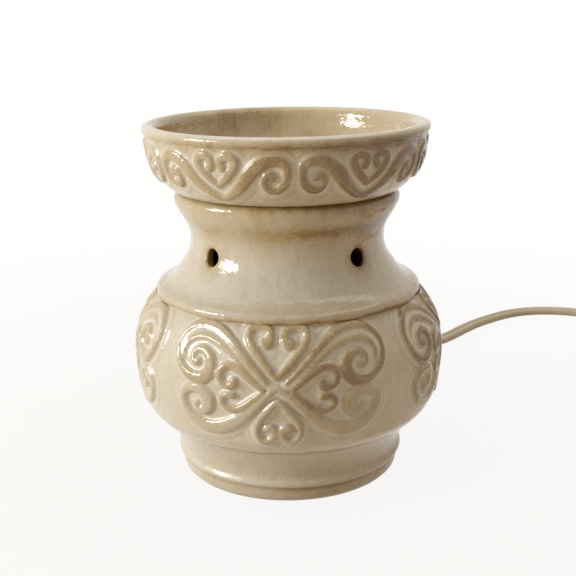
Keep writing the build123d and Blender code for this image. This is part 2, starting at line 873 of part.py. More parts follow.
# Free cord on the table, from the switch to the coil
print("tail radii", [round(radius, 1) for radius in run_radii(tail_points)])
with BuildPart() as cord_tail:
    with BuildLine() as tail_line:
        FilletPolyline(*tail_points, radius=run_radii(tail_points))
    with BuildSketch(cord_section(tail_line.line @ 0, tail_line.line % 0)):
        SlotOverall(cord_width, cord_thickness)
    sweep(path=tail_line.line)
cord_tail.part.label = "cord_tail"
export_step(cord_tail.part, "parts/cord_tail.step")
tail_length = tail_line.wire().length
print("tail length", round(tail_length, 1))
print("tail volume share", round(cord_tail.part.volume / (section_area * tail_length), 4))

# Coil of the rest of the cord: two layers of flat turns, wound inwards on the
# table and outwards again on top, a quarter turn to an arc
turn_pitch = cord_thickness + coil_turn_gap
layer_pitch = cord_width + coil_layer_gap
quarter_step = turn_pitch / 4
quarters = 4 * coil_turns
climb_quarters = 2
inward_quarters = (quarters - climb_quarters) // 2
coil_straight_in = cord_width
coil_straight_out = 1.5 * cord_width
coil_entry = Vector(*tail_points[-1])
coil_start = coil_entry - Vector(0, coil_straight_in, 0)
centre_x = coil_start.X - coil_radius
centre_y = coil_start.Y
turn_radius = coil_radius
coil_points = [coil_start]
for quarter in range(quarters):
    climbing = inward_quarters <= quarter < inward_quarters + climb_quarters
    heading = radians(-90 * (quarter + 1))
    level = coil_entry.Z
    reach = turn_radius
    if climbing and quarter == inward_quarters:
        level = coil_entry.Z + layer_pitch / 2
        reach = sqrt(turn_radius**2 + layer_pitch**2 / 4)
    elif quarter > inward_quarters:
        level = coil_entry.Z + layer_pitch
    coil_points.append(
        Vector(centre_x + reach * cos(heading), centre_y + reach * sin(heading), level)
    )
    change = 0
    if quarter < inward_quarters:
        change = -quarter_step
    elif quarter >= inward_quarters + climb_quarters - 1 and quarter < quarters - 1:
        change = quarter_step
    centre_x -= change * cos(heading)
    centre_y -= change * sin(heading)
    turn_radius += change
with BuildPart() as cord_coil:
    with BuildLine() as coil_line:
        lead_in = Line(coil_entry, coil_start)
        way = lead_in % 1
        for near, far in zip(coil_points, coil_points[1:]):
            arc = TangentArc(near, far, tangent=way)
            way = arc % 1
        coil_end = coil_points[-1] + way * coil_straight_out
        Line(coil_points[-1], coil_end)
    with BuildSketch(cord_section(coil_line.line @ 0, coil_line.line % 0)):
        SlotOverall(cord_width, cord_thickness)
    raised_wire = coil_line.wire().moved(Location((0, 0, cord_width)))
    sweep(path=coil_line.wire(), binormal=raised_wire)
cord_coil.part.label = "cord_coil"
export_step(cord_coil.part, "parts/cord_coil.step")
coil_length = coil_line.wire().length
print("coil length", round(coil_length, 1), "ends", coil_end, "way", way)
print("coil volume share", round(cord_coil.part.volume / (section_area * coil_length), 4))
sample_count = 1200
samples = [coil_line.line @ (index / sample_count) for index in range(sample_count + 1)]
next_turn = int(1.25 * coil_radius / coil_length * sample_count)
gaps = []
for index, here in enumerate(samples):
    for there in samples[index + next_turn :: 3]:
        away = there - here
        rise = max(abs(away.Z) - (cord_width - cord_thickness), 0)
        gaps.append(sqrt(away.X**2 + away.Y**2 + rise**2) - cord_thickness)
print("coil least gap to itself", round(min(gaps), 2))

# Tie round the coil, where the turns cross the side away from the front
far_side = [point for index, point in enumerate(coil_points) if index % 4 == 3]
tie_inner_low = min(point.Y for point in far_side) - cord_thickness / 2 - 2 * seat_gap
tie_inner_high = max(point.Y for point in far_side) + cord_thickness / 2 + seat_gap
tie_bottom = coil_entry.Z - cord_width / 2 - seat_gap
tie_top = coil_entry.Z + layer_pitch + cord_width / 2 + seat_gap
tie_x = far_side[0].X
tie_plane = Plane(origin=(tie_x, 0, 0), x_dir=(0, 1, 0), z_dir=(1, 0, 0))
with BuildPart() as cord_tie:
    with BuildSketch(tie_plane):
        with Locations(((tie_inner_low + tie_inner_high) / 2, (tie_bottom + tie_top) / 2)):
            Rectangle(
                tie_inner_high - tie_inner_low + 2 * tie_thickness,
                tie_top - tie_bottom + 2 * tie_thickness,
            )
            Rectangle(
                tie_inner_high - tie_inner_low,
                tie_top - tie_bottom,
                mode=Mode.SUBTRACT,
            )
    extrude(amount=tie_width / 2, both=True)
    fillet(cord_tie.edges().filter_by(Axis.X), radius=tie_thickness / 3)
cord_tie.part.label = "cord_tie"
export_step(cord_tie.part, "parts/cord_tie.step")

# In-line switch between the lead and the tail, with its wheel lying flat
switch_start = Vector(*lead_points[-1])
switch_end = Vector(*tail_points[0])
switch_way = (switch_end - switch_start).normalized()
switch_middle = (switch_start + switch_end) * 0.5
switch_bottom = seat_gap
switch_split = switch_bottom + switch_height / 2
switch_base = Plane(
    origin=(switch_middle.X, switch_middle.Y, 0),
    x_dir=(switch_way.X, switch_way.Y, 0),
    z_dir=(0, 0, 1),
)
switch_reach = (switch_end - switch_start).length / 2 - seat_gap
switch_wall = switch_height / 7
wheel_gap = 1.5 * seat_gap
wheel_slot_radius = wheel_radius + wheel_gap
wheel_bottom = switch_split - wheel_thickness / 2
screw_place = (wheel_slot_radius + switch_reach) / 2
screw_head_radius = 1.9 * switch_screw_radius
screw_head_height = switch_screw_radius


def switch_outline():
    """Both long sides bulge round the wheel, and both ends are narrow."""
    end_half = switch_end_width / 2
    swell = 0.55 * switch_reach
    swell_half = switch_width / 2 * 0.93
    for side in (-1, 1):
        Line(
            (side * switch_reach, side * end_half),
            (side * switch_reach, -side * end_half),
        )
        Spline(
            (side * switch_reach, -side * end_half),
            (side * swell, -side * swell_half),
            (0, -side * switch_width / 2),
            (-side * swell, -side * swell_half),
            (-side * switch_reach, -side * end_half),
        )


with BuildPart() as switch_lower:
    with BuildSketch(switch_base.offset(switch_bottom)):
        with BuildLine():
            switch_outline()
        make_face()
    extrude(amount=switch_height / 2)
    fillet(switch_lower.faces().sort_by(Axis.Z)[0].edges(), radius=switch_wall)
    with BuildSketch(switch_base.offset(wheel_bottom - wheel_gap)):
        Circle(wheel_slot_radius)
        Circle(axle_radius, mode=Mode.SUBTRACT)
    extrude(amount=switch_height, mode=Mode.SUBTRACT)
    with BuildSketch(switch_base.offset(switch_split)):
        Circle(axle_radius)
    extrude(amount=wheel_thickness / 2)
    with BuildSketch(switch_base.offset(switch_split)):
        with Locations((screw_place, 0), (-screw_place, 0)):
            Circle(switch_screw_radius + rivet_gap)
    extrude(amount=-switch_height / 3, mode=Mode.SUBTRACT)
switch_lower.part.label = "switch_lower"
export_step(switch_lower.part, "parts/switch_lower.step")

with BuildPart() as switch_upper:
    with BuildSketch(switch_base.offset(switch_split)):
        with BuildLine():
            switch_outline()
        make_face()
    extrude(amount=switch_height / 2)
    with BuildSketch(switch_base.offset(switch_split)):
        Circle(wheel_slot_radius)
    extrude(amount=wheel_thickness / 2 + wheel_gap, mode=Mode.SUBTRACT)
    fillet(switch_upper.faces().sort_by(Axis.Z)[-1].edges(), radius=switch_wall)
    with BuildSketch(switch_base.offset(switch_split)):
        with Locations((screw_place, 0), (-screw_place, 0)):
            Circle(switch_screw_radius + rivet_gap)
    extrude(amount=switch_height, mode=Mode.SUBTRACT)
    with BuildSketch(switch_base.offset(switch_split + switch_height / 2 - screw_head_height)):
        with Locations((screw_place, 0), (-screw_place, 0)):
            Circle(screw_head_radius + rivet_gap)
    extrude(amount=switch_height, mode=Mode.SUBTRACT)
switch_upper.part.label = "switch_upper"
export_step(switch_upper.part, "parts/switch_upper.step")

with BuildPart() as switch_wheel:
    with BuildSketch(switch_base.offset(wheel_bottom)):
        Circle(wheel_radius)
        Circle(axle_radius + seat_gap, mode=Mode.SUBTRACT)
        with PolarLocations(wheel_radius, wheel_notches):
            Circle(pi * wheel_radius / wheel_notches / 2, mode=Mode.SUBTRACT)
    extrude(amount=wheel_thickness)
switch_wheel.part.label = "switch_wheel"
export_step(switch_wheel.part, "parts/switch_wheel.step")

screw_head_bottom = switch_split + switch_height / 2 - screw_head_height
with BuildPart() as switch_screws:
    with BuildSketch(switch_base.offset(switch_split - switch_height / 3 + seat_gap)):
        with Locations((screw_place, 0), (-screw_place, 0)):
            Circle(switch_screw_radius)
    extrude(amount=screw_head_bottom - switch_split + switch_height / 3 - seat_gap)
    with BuildSketch(switch_base.offset(screw_head_bottom)):
        with Locations((screw_place, 0), (-screw_place, 0)):
            Circle(screw_head_radius)
    extrude(amount=screw_head_height)
    with BuildSketch(switch_base.offset(screw_head_bottom + screw_head_height)):
        with Locations((screw_place, 0), (-screw_place, 0)):
            Rectangle(2 * screw_head_radius, screw_head_radius / 3)
    extrude(amount=-screw_head_height / 2, mode=Mode.SUBTRACT)
switch_screws.part.label = "switch_screws"
export_step(switch_screws.part, "parts/switch_screws.step")
print("switch middle", switch_middle, "way", switch_way)
whole_length = lead_length + 2 * switch_reach + tail_length + coil_length
print("whole cord", round(whole_length, 1))

# Two-blade plug beside the coil, standing on its narrow side
plug_centre = coil_end
plug_half = plug_centre.Z - seat_gap
plug_plane = Plane(origin=coil_end, x_dir=(0, 0, 1), z_dir=way)
relief_start_radius = cord_width / 2 + rivet_gap
relief_end_radius = plug_thickness * 0.38
with BuildPart() as plug_body:
    with BuildSketch(plug_plane):
        Circle(relief_start_radius)
    with BuildSketch(plug_plane.offset(plug_relief_length)):
        Circle(relief_end_radius)
    loft()
    with BuildSketch(plug_plane.offset(plug_relief_length)):
        RectangleRounded(plug_half * 1.2, plug_thickness * 0.8, plug_thickness / 4)
    with BuildSketch(plug_plane.offset(plug_relief_length + plug_length / 2)):
        RectangleRounded(plug_half * 2, plug_thickness, plug_thickness / 3)
    loft()
    with BuildSketch(plug_plane.offset(plug_relief_length + plug_length / 2)):
        RectangleRounded(plug_half * 2, plug_thickness, plug_thickness / 3)
    extrude(amount=plug_length / 2)
plug_body.part.label = "plug_body"
export_step(plug_body.part, "parts/plug_body.step")

with BuildPart() as plug_blades:
    with BuildSketch(plug_plane.offset(plug_relief_length + plug_length)):
        with GridLocations(blade_spacing, 0, 2, 1):
            Rectangle(blade_thickness, blade_width)
    extrude(amount=blade_length)
    blade_tips = plug_blades.faces().filter_by(Axis.Y).sort_by(Axis.Y)[:2]
    fillet(blade_tips.edges().filter_by(Axis.Z), radius=blade_thickness / 3)
plug_blades.part.label = "plug_blades"
export_step(plug_blades.part, "parts/plug_blades.step")
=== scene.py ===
"""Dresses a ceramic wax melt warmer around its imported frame: a glazed body and dish with
scroll and heart relief, the flat twin lead with its switch, coil and plug, and the lamp inside.
Lengths are metres, except in the outlines, strands and routes, whose comments say millimetres.
+Z is up and -Y is the front."""

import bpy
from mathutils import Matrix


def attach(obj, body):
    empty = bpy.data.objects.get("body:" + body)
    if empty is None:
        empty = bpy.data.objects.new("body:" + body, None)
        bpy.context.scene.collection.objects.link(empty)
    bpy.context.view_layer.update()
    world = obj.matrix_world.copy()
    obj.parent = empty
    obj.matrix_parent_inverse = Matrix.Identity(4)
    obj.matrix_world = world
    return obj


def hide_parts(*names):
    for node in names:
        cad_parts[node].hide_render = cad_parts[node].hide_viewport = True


bl_info = {
    "name": "Wax melt warmer",
    "version": (1, 0, 0),
    "blender": (4, 5, 0),
    "location": "View3D > Sidebar > Warmer",
    "description": "Builds the looks of a glazed ceramic wax melt warmer",
    "category": "Object",
}

from math import atan2, cos, degrees, inf, pi, radians, sin, sqrt

import bmesh
import bpy
import numpy as np
from bpy.props import FloatProperty, FloatVectorProperty, IntProperty, PointerProperty
from mathutils import Euler, Matrix, Vector

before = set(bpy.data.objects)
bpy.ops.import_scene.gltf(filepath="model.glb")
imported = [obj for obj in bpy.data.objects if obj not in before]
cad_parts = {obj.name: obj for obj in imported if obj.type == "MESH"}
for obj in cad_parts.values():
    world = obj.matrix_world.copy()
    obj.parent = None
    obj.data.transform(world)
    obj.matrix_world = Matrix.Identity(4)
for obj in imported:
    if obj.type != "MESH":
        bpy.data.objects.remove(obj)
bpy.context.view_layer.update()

MM = 0.001
BODY = "warmer"
DISH = "dish"

# Ground outline of the glazed body outside, from the foot up: radius and height in millimetres
BODY_FOOT = [
    (38.5, 0.3),
    (45.4, 0.3),
    (47.0, 0.6),
    (47.9, 1.6),
    (48.3, 3.2),
    (48.4, 5.0),
    (48.4, 6.4),
    (48.8, 7.1),
    (49.6, 7.6),
    (50.0, 8.4),
    (49.9, 9.2),
]
BODY_WAIST = [
    (49.9, 9.2),
    (49.2, 10.0),
    (48.8, 10.8),
    (49.0, 12.6),
    (50.1, 16.0),
    (52.2, 20.0),
    (54.7, 24.0),
    (55.6, 25.2),
    (55.9, 25.7),
    (57.0, 26.3),
]
BODY_BOWL = [
    (57.0, 26.3),
    (59.4, 28.0),
    (62.6, 32.0),
    (63.5, 36.0),
    (64.1, 40.0),
    (65.1, 48.0),
    (65.4, 54.0),
    (65.3, 60.0),
    (64.0, 66.0),
    (61.2, 72.0),
    (58.9, 75.5),
    (56.8, 78.0),
    (55.6, 79.4),
]
BODY_SHOULDER = [
    (55.6, 79.4),
    (55.5, 80.0),
    (56.0, 80.3),
    (56.7, 80.8),
    (57.0, 81.6),
    (56.9, 82.6),
    (56.4, 83.4),
    (55.5, 84.1),
    (54.2, 84.6),
    (52.6, 85.3),
]
BODY_NECK = [
    (52.6, 85.3),
    (50.0, 86.9),
    (47.6, 89.9),
    (45.8, 92.4),
    (43.4, 96.0),
    (41.9, 100.0),
    (41.5, 104.0),
    (42.0, 108.0),
    (43.6, 111.5),
    (44.6, 113.4),
    (46.3, 116.0),
    (47.8, 119.4),
]
BODY_LIP = [
    (47.9, 120.2),
    (47.9, 121.6),
    (47.3, 122.9),
    (46.2, 123.7),
    (44.6, 124.0),
    (42.9, 123.6),
    (41.6, 122.5),
]
BODY_INSIDE = [
    (36.7, 108.0),
    (36.5, 104.0),
    (38.4, 96.0),
    (44.6, 88.0),
    (53.0, 80.0),
    (58.5, 70.0),
    (60.5, 60.0),
    (60.7, 50.0),
    (58.6, 38.0),
    (53.0, 26.0),
    (45.3, 14.0),
]
BODY_LEDGE = [(44.1, 7.0), (34.0, 7.0), (34.0, 4.5), (38.5, 4.5)]

# Stretches of the body's outer wall, each with the length of its mesh rows in millimetres
BODY_WALL = [
    (BODY_FOOT[1:], 0.8),
    (BODY_WAIST, 1.3),
    (BODY_BOWL, 0.53),
    (BODY_SHOULDER, 0.45),
    (BODY_NECK, 1.6),
]
BODY_LIP_STEP = 1.0
BODY_INSIDE_STEP = 8.0

# Outline of the glazed dish: radius and height in millimetres
DISH_UNDER = [(0.0, 124.3), (36.2, 124.3), (36.2, 119.3), (40.0, 119.3), (40.0, 124.3), (46.8, 124.3)]
DISH_WALL = [
    (48.3, 124.8),
    (50.0, 126.2),
    (51.8, 128.2),
    (53.6, 130.8),
    (55.4, 134.0),
    (56.7, 137.5),
    (57.4, 141.0),
    (57.9, 144.5),
    (58.5, 146.8),
    (58.8, 148.0),
]
DISH_RIM = [
    (59.5, 148.3),
    (60.1, 149.0),
    (60.3, 150.1),
    (59.9, 151.2),
    (58.9, 151.8),
    (57.6, 152.0),
    (56.2, 151.8),
    (55.0, 151.1),
    (54.1, 149.9),
]
DISH_INSIDE = [
    (53.8, 148.6),
    (53.7, 146.6),
    (53.1, 143.4),
    (51.4, 139.9),
    (48.4, 136.4),
    (44.0, 133.2),
    (38.2, 131.0),
    (31.0, 129.8),
    (18.0, 129.4),
    (0.0, 129.4),
]
DISH_WALL_STEP = 0.42
DISH_RIM_STEP = 0.5
DISH_INSIDE_STEP = 2.5

# Relief strands of one panel of the body, traced from the front panel: the angle from
# the front in degrees, the height and the strand's half width in millimetres
PANEL_MIDDLE = -4.0
PANEL_COUNT = 4
PANEL_RADIUS = 66.0
PANEL_LOW, PANEL_HIGH = 29, 80.9
UPPER_SCROLL = [
    (-7.4, 59.9, 1.1),
    (-12.9, 66.2, 1.4),
    (-19.2, 72.4, 1.6),
    (-25.6, 76.5, 1.7),
    (-32.0, 78.0, 1.7),
    (-37.6, 77.1, 1.6),
    (-41.4, 74.2, 1.5),
    (-42.8, 70.4, 1.4),
    (-42.0, 66.2, 1.5),
    (-39.8, 62.2, 1.8),
    (-36.4, 59.6, 2.2),
    (-32.2, 58.9, 2.6),
    (-29.0, 60.7, 2.7),
    (-27.6, 63.9, 2.5),
    (-28.3, 67.2, 2.2),
    (-30.6, 69.4, 1.8),
    (-33.3, 69.5, 1.5),
    (-35.2, 67.8, 1.3),
    (-35.0, 65.6, 1.3),
    (-33.4, 64.7, 1.5),
    (-32.8, 65.4, 1.5),
]
UPPER_INNER_RIM = [
    (-10.4, 60.4, 0.6),
    (-15.9, 65.7, 1.0),
    (-22.2, 70.7, 1.2),
    (-28.4, 73.5, 1.3),
    (-33.8, 74.0, 1.3),
    (-38.0, 72.1, 1.1),
    (-39.6, 68.8, 0.9),
    (-39.1, 65.8, 0.5),
]
UPPER_VALLEY = [
    (-0.5, 54.0, 1.7),
    (-8.6, 60.0, 2.0),
    (-14.2, 65.8, 2.6),
    (-20.7, 71.4, 3.2),
    (-27.2, 74.9, 3.4),
    (-33.0, 75.9, 3.2),
    (-38.4, 73.8, 2.6),
    (-41.0, 69.4, 2.0),
    (-40.6, 65.2, 1.6),
]
LOWER_SCROLL = [
    (-4.0, 58.4, 1.2),
    (-7.4, 55.0, 1.5),
    (-11.7, 50.0, 2.0),
    (-16.6, 44.9, 2.6),
    (-23.1, 40.4, 3.0),
    (-30.2, 39.0, 3.0),
    (-35.8, 42.0, 2.5),
    (-39.0, 46.9, 2.0),
    (-39.1, 51.3, 1.9),
    (-36.0, 54.2, 2.0),
    (-32.0, 54.6, 2.6),
    (-29.0, 52.0, 3.1),
    (-28.8, 48.2, 2.9),
    (-30.9, 45.7, 2.0),
    (-33.0, 46.2, 1.6),
    (-33.6, 48.2, 1.5),
]
TOP_HEART = [
    (-4.4, 62.2, 1.3),
    (-8.0, 66.2, 1.6),
    (-11.4, 70.4, 1.6),
    (-14.0, 73.7, 1.6),
    (-14.9, 76.3, 1.6),
    (-13.7, 78.3, 1.6),
    (-10.6, 79.1, 1.6),
    (-7.6, 77.9, 1.7),
    (-6.5, 75.4, 1.9),
    (-7.6, 73.6, 2.1),
    (-9.0, 73.7, 1.6),
]
SIDE_HEART = [
    (-9.0, 57.5, 1.3),
    (-13.0, 61.0, 1.6),
    (-16.8, 64.3, 1.7),
    (-20.4, 65.5, 1.6),
    (-23.2, 64.3, 1.6),
    (-24.1, 61.6, 1.6),
    (-23.2, 59.0, 1.5),
    (-21.2, 57.9, 1.5),
    (-19.3, 58.4, 1.8),
    (-18.8, 59.9, 1.7),
]
SIDE_HEART_LOW = [
    (-9.0, 56.0, 1.3),
    (-12.7, 52.4, 1.6),
    (-16.6, 49.2, 1.6),
    (-20.0, 48.4, 1.6),
    (-22.7, 50.0, 1.5),
    (-23.2, 52.6, 1.4),
    (-21.6, 54.1, 1.4),
    (-19.2, 54.2, 1.7),
]
BOTTOM_HEART = [
    (-4.2, 52.6, 1.2),
    (-7.4, 48.8, 1.6),
    (-10.2, 44.7, 1.6),
    (-11.6, 40.6, 1.6),
    (-10.9, 36.8, 1.6),
    (-8.4, 35.2, 1.6),
    (-5.9, 36.9, 1.6),
    (-5.3, 39.7, 1.8),
    (-6.9, 41.2, 2.0),
    (-8.3, 40.7, 1.5),
]

# Relief strands of one repeat of the dish
REPEAT_MIDDLE = 3.0
REPEAT_COUNT = 6
REPEAT_RADIUS = 58.5
REPEAT_LOW, REPEAT_HIGH = 125, 149
DISH_SCROLL = [
    (33.0, 128.6, 1.3),
    (29.6, 129.6, 1.7),
    (24.1, 133.5, 2.4),
    (19.7, 138.5, 2.8),
    (16.0, 141.9, 2.7),
    (12.1, 143.6, 2.4),
    (8.5, 143.3, 2.2),
    (6.2, 141.2, 2.0),
    (5.8, 138.1, 1.9),
    (6.8, 134.9, 1.9),
    (9.5, 132.7, 1.8),
    (12.7, 132.9, 1.7),
    (14.4, 135.0, 1.5),
    (13.9, 137.2, 1.6),
    (12.4, 138.2, 1.7),
    (11.1, 137.4, 1.8),
]
DISH_HEART = [
    (32.8, 133.7, 1.2),
    (29.3, 136.6, 1.6),
    (26.2, 140.0, 1.8),
    (25.1, 142.7, 1.8),
    (26.3, 144.5, 1.8),
    (28.6, 144.9, 1.9),
    (30.6, 143.7, 1.7),
    (31.2, 141.9, 1.6),
    (30.3, 140.5, 1.8),
]

# Left half of each pattern: a strand, how tan its top is and how far it rises
PANEL_STRANDS = [
    (UPPER_SCROLL, 0.95, 1.0),
    (UPPER_INNER_RIM, 0.8, 0.95),
    (UPPER_VALLEY, 0, 0.62),
    (LOWER_SCROLL, 0.5, 1.0),
    (TOP_HEART, 0.95, 1.0),
    (SIDE_HEART, 0.9, 1.0),
    (SIDE_HEART_LOW, 0.9, 1.0),
    (BOTTOM_HEART, 0.6, 1.0),
]
REPEAT_STRANDS = [(DISH_SCROLL, 1.05, 1.0), (DISH_HEART, 1.0, 1.0)]

# Section of a strand, in millimetres or as shares of its full rise, the low cushion it stands on,
# and how many points are measured against it at once
STRAND_STEP = 0.35
STRAND_REACH = 7.0
FAR_EDGE = 6.0
CROWN_POWER = 0.55
CROWN_HALF_WIDTH = 1.5
CROWN_LEAST, CROWN_MOST = 0.6, 1.05
FOOT_RISE = 0.1
FOOT_WIDTH = 0.5
CUSHION_RISE = 0.24
CUSHION_END = 3.3
CUSHION_SLOPE = 0.9
CHUNK = 4000

# How far the glaze breaks to tan on the outer walls: height in millimetres and share. Where the
# wall turns down, under the foot's bead and the shoulder roll, on the waist, on the flaring neck
# and under the dish's rim, the tan is partly painted shade
BODY_BREAKS = [
    (0, 0.6),
    (2, 0.3),
    (5, 0.45),
    (6.6, 1.0),
    (7.3, 0.8),
    (8.0, 0.05),
    (9.5, 0.0),
    (11, 0.25),
    (24, 0.25),
    (25.4, 0.55),
    (27, 0.2),
    (32, 0.1),
    (78.5, 0.1),
    (79.6, 0.4),
    (80.2, 1.1),
    (81.2, 0.95),
    (82.2, 0.6),
    (84.0, 0.3),
    (86.0, 0.1),
    (92, 0.05),
    # Flaring neck, facing down: this tan band is partly painted shade
    (101, 0.1),
    (104, 0.25),
    (107, 0.45),
    (110, 0.7),
    (112, 0.95),
    (114, 0.85),
    (116, 0.6),
    (118, 0.55),
    (120, 0.65),
    (122, 0.9),
    (123.8, 1.15),
]
DISH_BREAKS = [
    (124, 0.75),
    (125.2, 0.3),
    (127, 0.15),
    (143, 0.15),
    # Under the rim's bead the tan is partly painted shade
    (145, 0.45),
    (147, 0.85),
    (148.2, 1.1),
    (149.2, 0.9),
    (150.4, 0.5),
    (151.3, 0.15),
    (152, 0.1),
]

# Tan share of the linings, how far it fades from left to right as painted shade, browner on the
# left where the inside wall faces away from the key lamp, and the share of a piece's widest
# radius inside which nothing is its outer wall
BODY_LINING = 0.4
DISH_LINING = 0.8
LINING_SHADE_FADE = 0.75
WALL_SHARE = 0.45

# Vents in the neck: angle of the first in degrees, height, rounding of their edges, how much
# wider than the vent the mesh is opened, the brown of the rim, and the painted shade that darkens
# the rounded edge and the painted shadow inside the bore
VENT_START = -47.3
VENT_HEIGHT = 0.1
VENT_EDGE = 0.0012
VENT_STEPS = 4
VENT_MARGIN = 1.8 * VENT_EDGE
VENT_RIM_TONE = 0.8
VENT_EDGE_SHADE = 0.4
VENT_BORE_SHADOW = 1.8

# Hole for the lead's sleeve: angle in degrees, height, and how far out its collar is seated
HOLE_ANGLE = 165
HOLE_HEIGHT = 0.013
HOLE_CUT = 0.0084
HOLE_SEAT = 0.05063
# Rings from the outer face inwards: radius, tan share, depth and the farthest it may lie out
HOLE_RINGS = [
    (0.0073, 0.6, 0, inf),
    (0.0071, 0.8, 0, HOLE_SEAT + 0.0002),
    (0.0068, 0.8, 0, HOLE_SEAT),
    (0.0054, 0.9, 0, HOLE_SEAT),
    (0.0050, 1.0, 0.0006, HOLE_SEAT),
]
HOLE_INNER_RINGS = [(0.0056, 1.0, 0, inf), (0.0050, 1.0, -0.0006, inf)]

# Glaze near a hole: how far it turns tan, in cut radii, and how much
BLUSH_REACH = 1.6
BLUSH_SHARE = 0.55

# The free lead's routes, in millimetres: from the sleeve to the switch, and from the switch to
# the coil
LEAD_ROUTE = [
    (19.48, 72.71, 13.0),
    (24.66, 92.03, 13.0),
    (37.5, 107.5, 9.4),
    (55.0, 119.0, 5.4),
    (75.5, 129.5, 4.4),
    (96.0, 147.5, 4.3),
    (112.5, 168.5, 4.4),
    (128.0, 183.0, 4.3),
    (146.0, 195.5, 4.4),
    (166.5, 200.0, 4.3),
    (188.5, 194.5, 4.4),
    (206.5, 178.5, 4.4),
    (217.5, 157.0, 4.5),
    (224.5, 137.5, 4.6),
]
TAIL_ROUTE = [
    (242.0, 88.5, 4.6),
    (248.4, 70.6, 5.0),
    (251.5, 51.5, 5.6),
    (251.5, 34.0, 5.6),
]

# Section of the lead, as shares of a wire's radius: half the web between the wires and how far
# from each wire's middle it joins
WEB_SHARE = 0.55
GROOVE_SHARE = 0.84
WIRE_STEPS = 12

# The coil, in millimetres: its first radius, the gaps between turns and layers, the whole turns,
# the quarter turns that climb, and the control points in each quarter
COIL_RADIUS = 47.2
COIL_GAP = 0.9
LAYER_GAP = 0.6
COIL_TURNS = 5
CLIMB_QUARTERS = 2
QUARTER_PARTS = 6

# Camera, with its angles in degrees
CAMERA_PLACE = (0, -0.4136, 0.1969)
CAMERA_TILT = 15.93
CAMERA_ROLL = -0.77
CAMERA_LENS = 61.23
CAMERA_SENSOR = 36.0
CAMERA_NEAR = 0.01

# Stage: tones of the floor and of the surroundings, where the floor turns white, and the lamps'
# names, places, sizes, powers and colours
STAGE_WHITE = (1.0, 0.995, 0.99)
SURROUNDINGS = (0.30, 0.255, 0.19)
FLOOR_LOW, FLOOR_HIGH = (0.60, 0.50, 0.38), (0.65, 0.55, 0.42)
FLOOR_SIZE = 3.0
FLOOR_DROP = 0.0002
WHITE_START, WHITE_END = 0.12, 0.45
WHITE_LEAST = 0.9
LAMP_AIM = Vector((0, 0, 0.07))
LAMPS = (
    ("key_lamp", (-0.86, -0.30, 0.36), (0.42, 0.36), 6.3, (0.94, 0.98, 1.0)),
    ("fill_lamp", (0.85, -0.15, 0.42), (0.5, 0.6), 0.15, (1.0, 0.9, 0.75)),
    ("top_lamp", (0.1, 0.25, 1.2), (1.6, 1.4), 7.5, (1.0, 0.96, 0.87)),
)

# Tones and brush lines of the lamp's small pieces and of the plug, the range across the body of
# the painted shade that turns the glaze browner on the right, away from the key lamp, and paler
# on the left, and the glaze's range up its foot
SOLDER_GREY = (0.55, 0.55, 0.56)
TUNGSTEN_GREY = (0.18, 0.18, 0.19)
INSULATOR_BLACK = (0.012, 0.012, 0.014)
PLATE_BRUSH = (900.0, 40.0, 900.0)
BLADE_BRUSH = (900.0, 60.0, 900.0)
SIDE_SHADE_LEFT, SIDE_SHADE_RIGHT = -0.055, 0.06
DRY_TOP = 0.03


class WarmerSizes(bpy.types.PropertyGroup):
    """Sizes that change how the warmer looks."""

    body_columns: IntProperty(
        name="Body columns", description="Columns of the body's mesh round its axis", default=500, min=48
    )
    dish_columns: IntProperty(
        name="Dish columns", description="Columns of the dish's mesh round its axis", default=600, min=48
    )
    body_relief: FloatProperty(
        name="Body relief", description="Height of the body's strands", default=0.0016, unit="LENGTH"
    )
    dish_relief: FloatProperty(
        name="Dish relief", description="Height of the dish's strands", default=0.0013, unit="LENGTH"
    )
    lead_width: FloatProperty(
        name="Lead width", description="Width of the flat twin lead", default=0.008, unit="LENGTH"
    )
    lead_thickness: FloatProperty(
        name="Lead thickness", description="Thickness of one wire of the lead", default=0.004, unit="LENGTH"
    )
    vent_radius: FloatProperty(
        name="Vent radius", description="Radius of the neck's round vents", default=0.0035, unit="LENGTH"
    )


def colour(name, description, default):
    """A colour that a user may change."""
    return FloatVectorProperty(
        name=name, description=description, default=default, subtype="COLOR", size=3, min=0, max=1
    )


class WarmerColours(bpy.types.PropertyGroup):
    """Colours of the warmer's finishes."""

    glaze_cream: colour("Glaze cream", "Thick glaze on the ground", (0.70, 0.645, 0.535))
    glaze_pale: colour("Glaze pale", "Pooled glaze beside the strands", (0.80, 0.76, 0.67))
    glaze_tan: colour("Glaze tan", "Thin glaze over the strands", (0.47, 0.335, 0.14))
    glaze_brown: colour("Glaze brown", "Thinnest glaze, on edges and lines", (0.29, 0.18, 0.07))
    lead_tan: colour("Lead", "Vinyl of the lead", (0.46, 0.38, 0.265))
    switch_tan: colour("Switch", "Moulded plastic of the switch and the plug", (0.40, 0.32, 0.21))
    wheel_brown: colour("Wheel", "Plastic of the switch's wheel", (0.20, 0.14, 0.08))
    tie_white: colour("Tie", "Plastic of the coil's tie", (0.78, 0.75, 0.68))
    holder_black: colour("Lamp holder", "Moulded lamp holder", (0.025, 0.022, 0.02))
    pad_grey: colour("Pads", "Rubber of the pads", (0.55, 0.52, 0.45))
    steel: colour("Steel", "Plated steel", (0.62, 0.62, 0.60))
    yellow_zinc: colour("Yellow zinc", "Plating of the nipple", (0.62, 0.52, 0.30))
    brass: colour("Brass", "Brass contacts and blades", (0.80, 0.58, 0.25))
    aluminium: colour("Aluminium", "Cap, rivets and screws", (0.78, 0.78, 0.79))


def sizes():
    """The sizes that a user may change."""
    return bpy.context.scene.warmer_sizes


def colours():
    """The colours that a user may change."""
    return bpy.context.scene.warmer_colours


# Materials


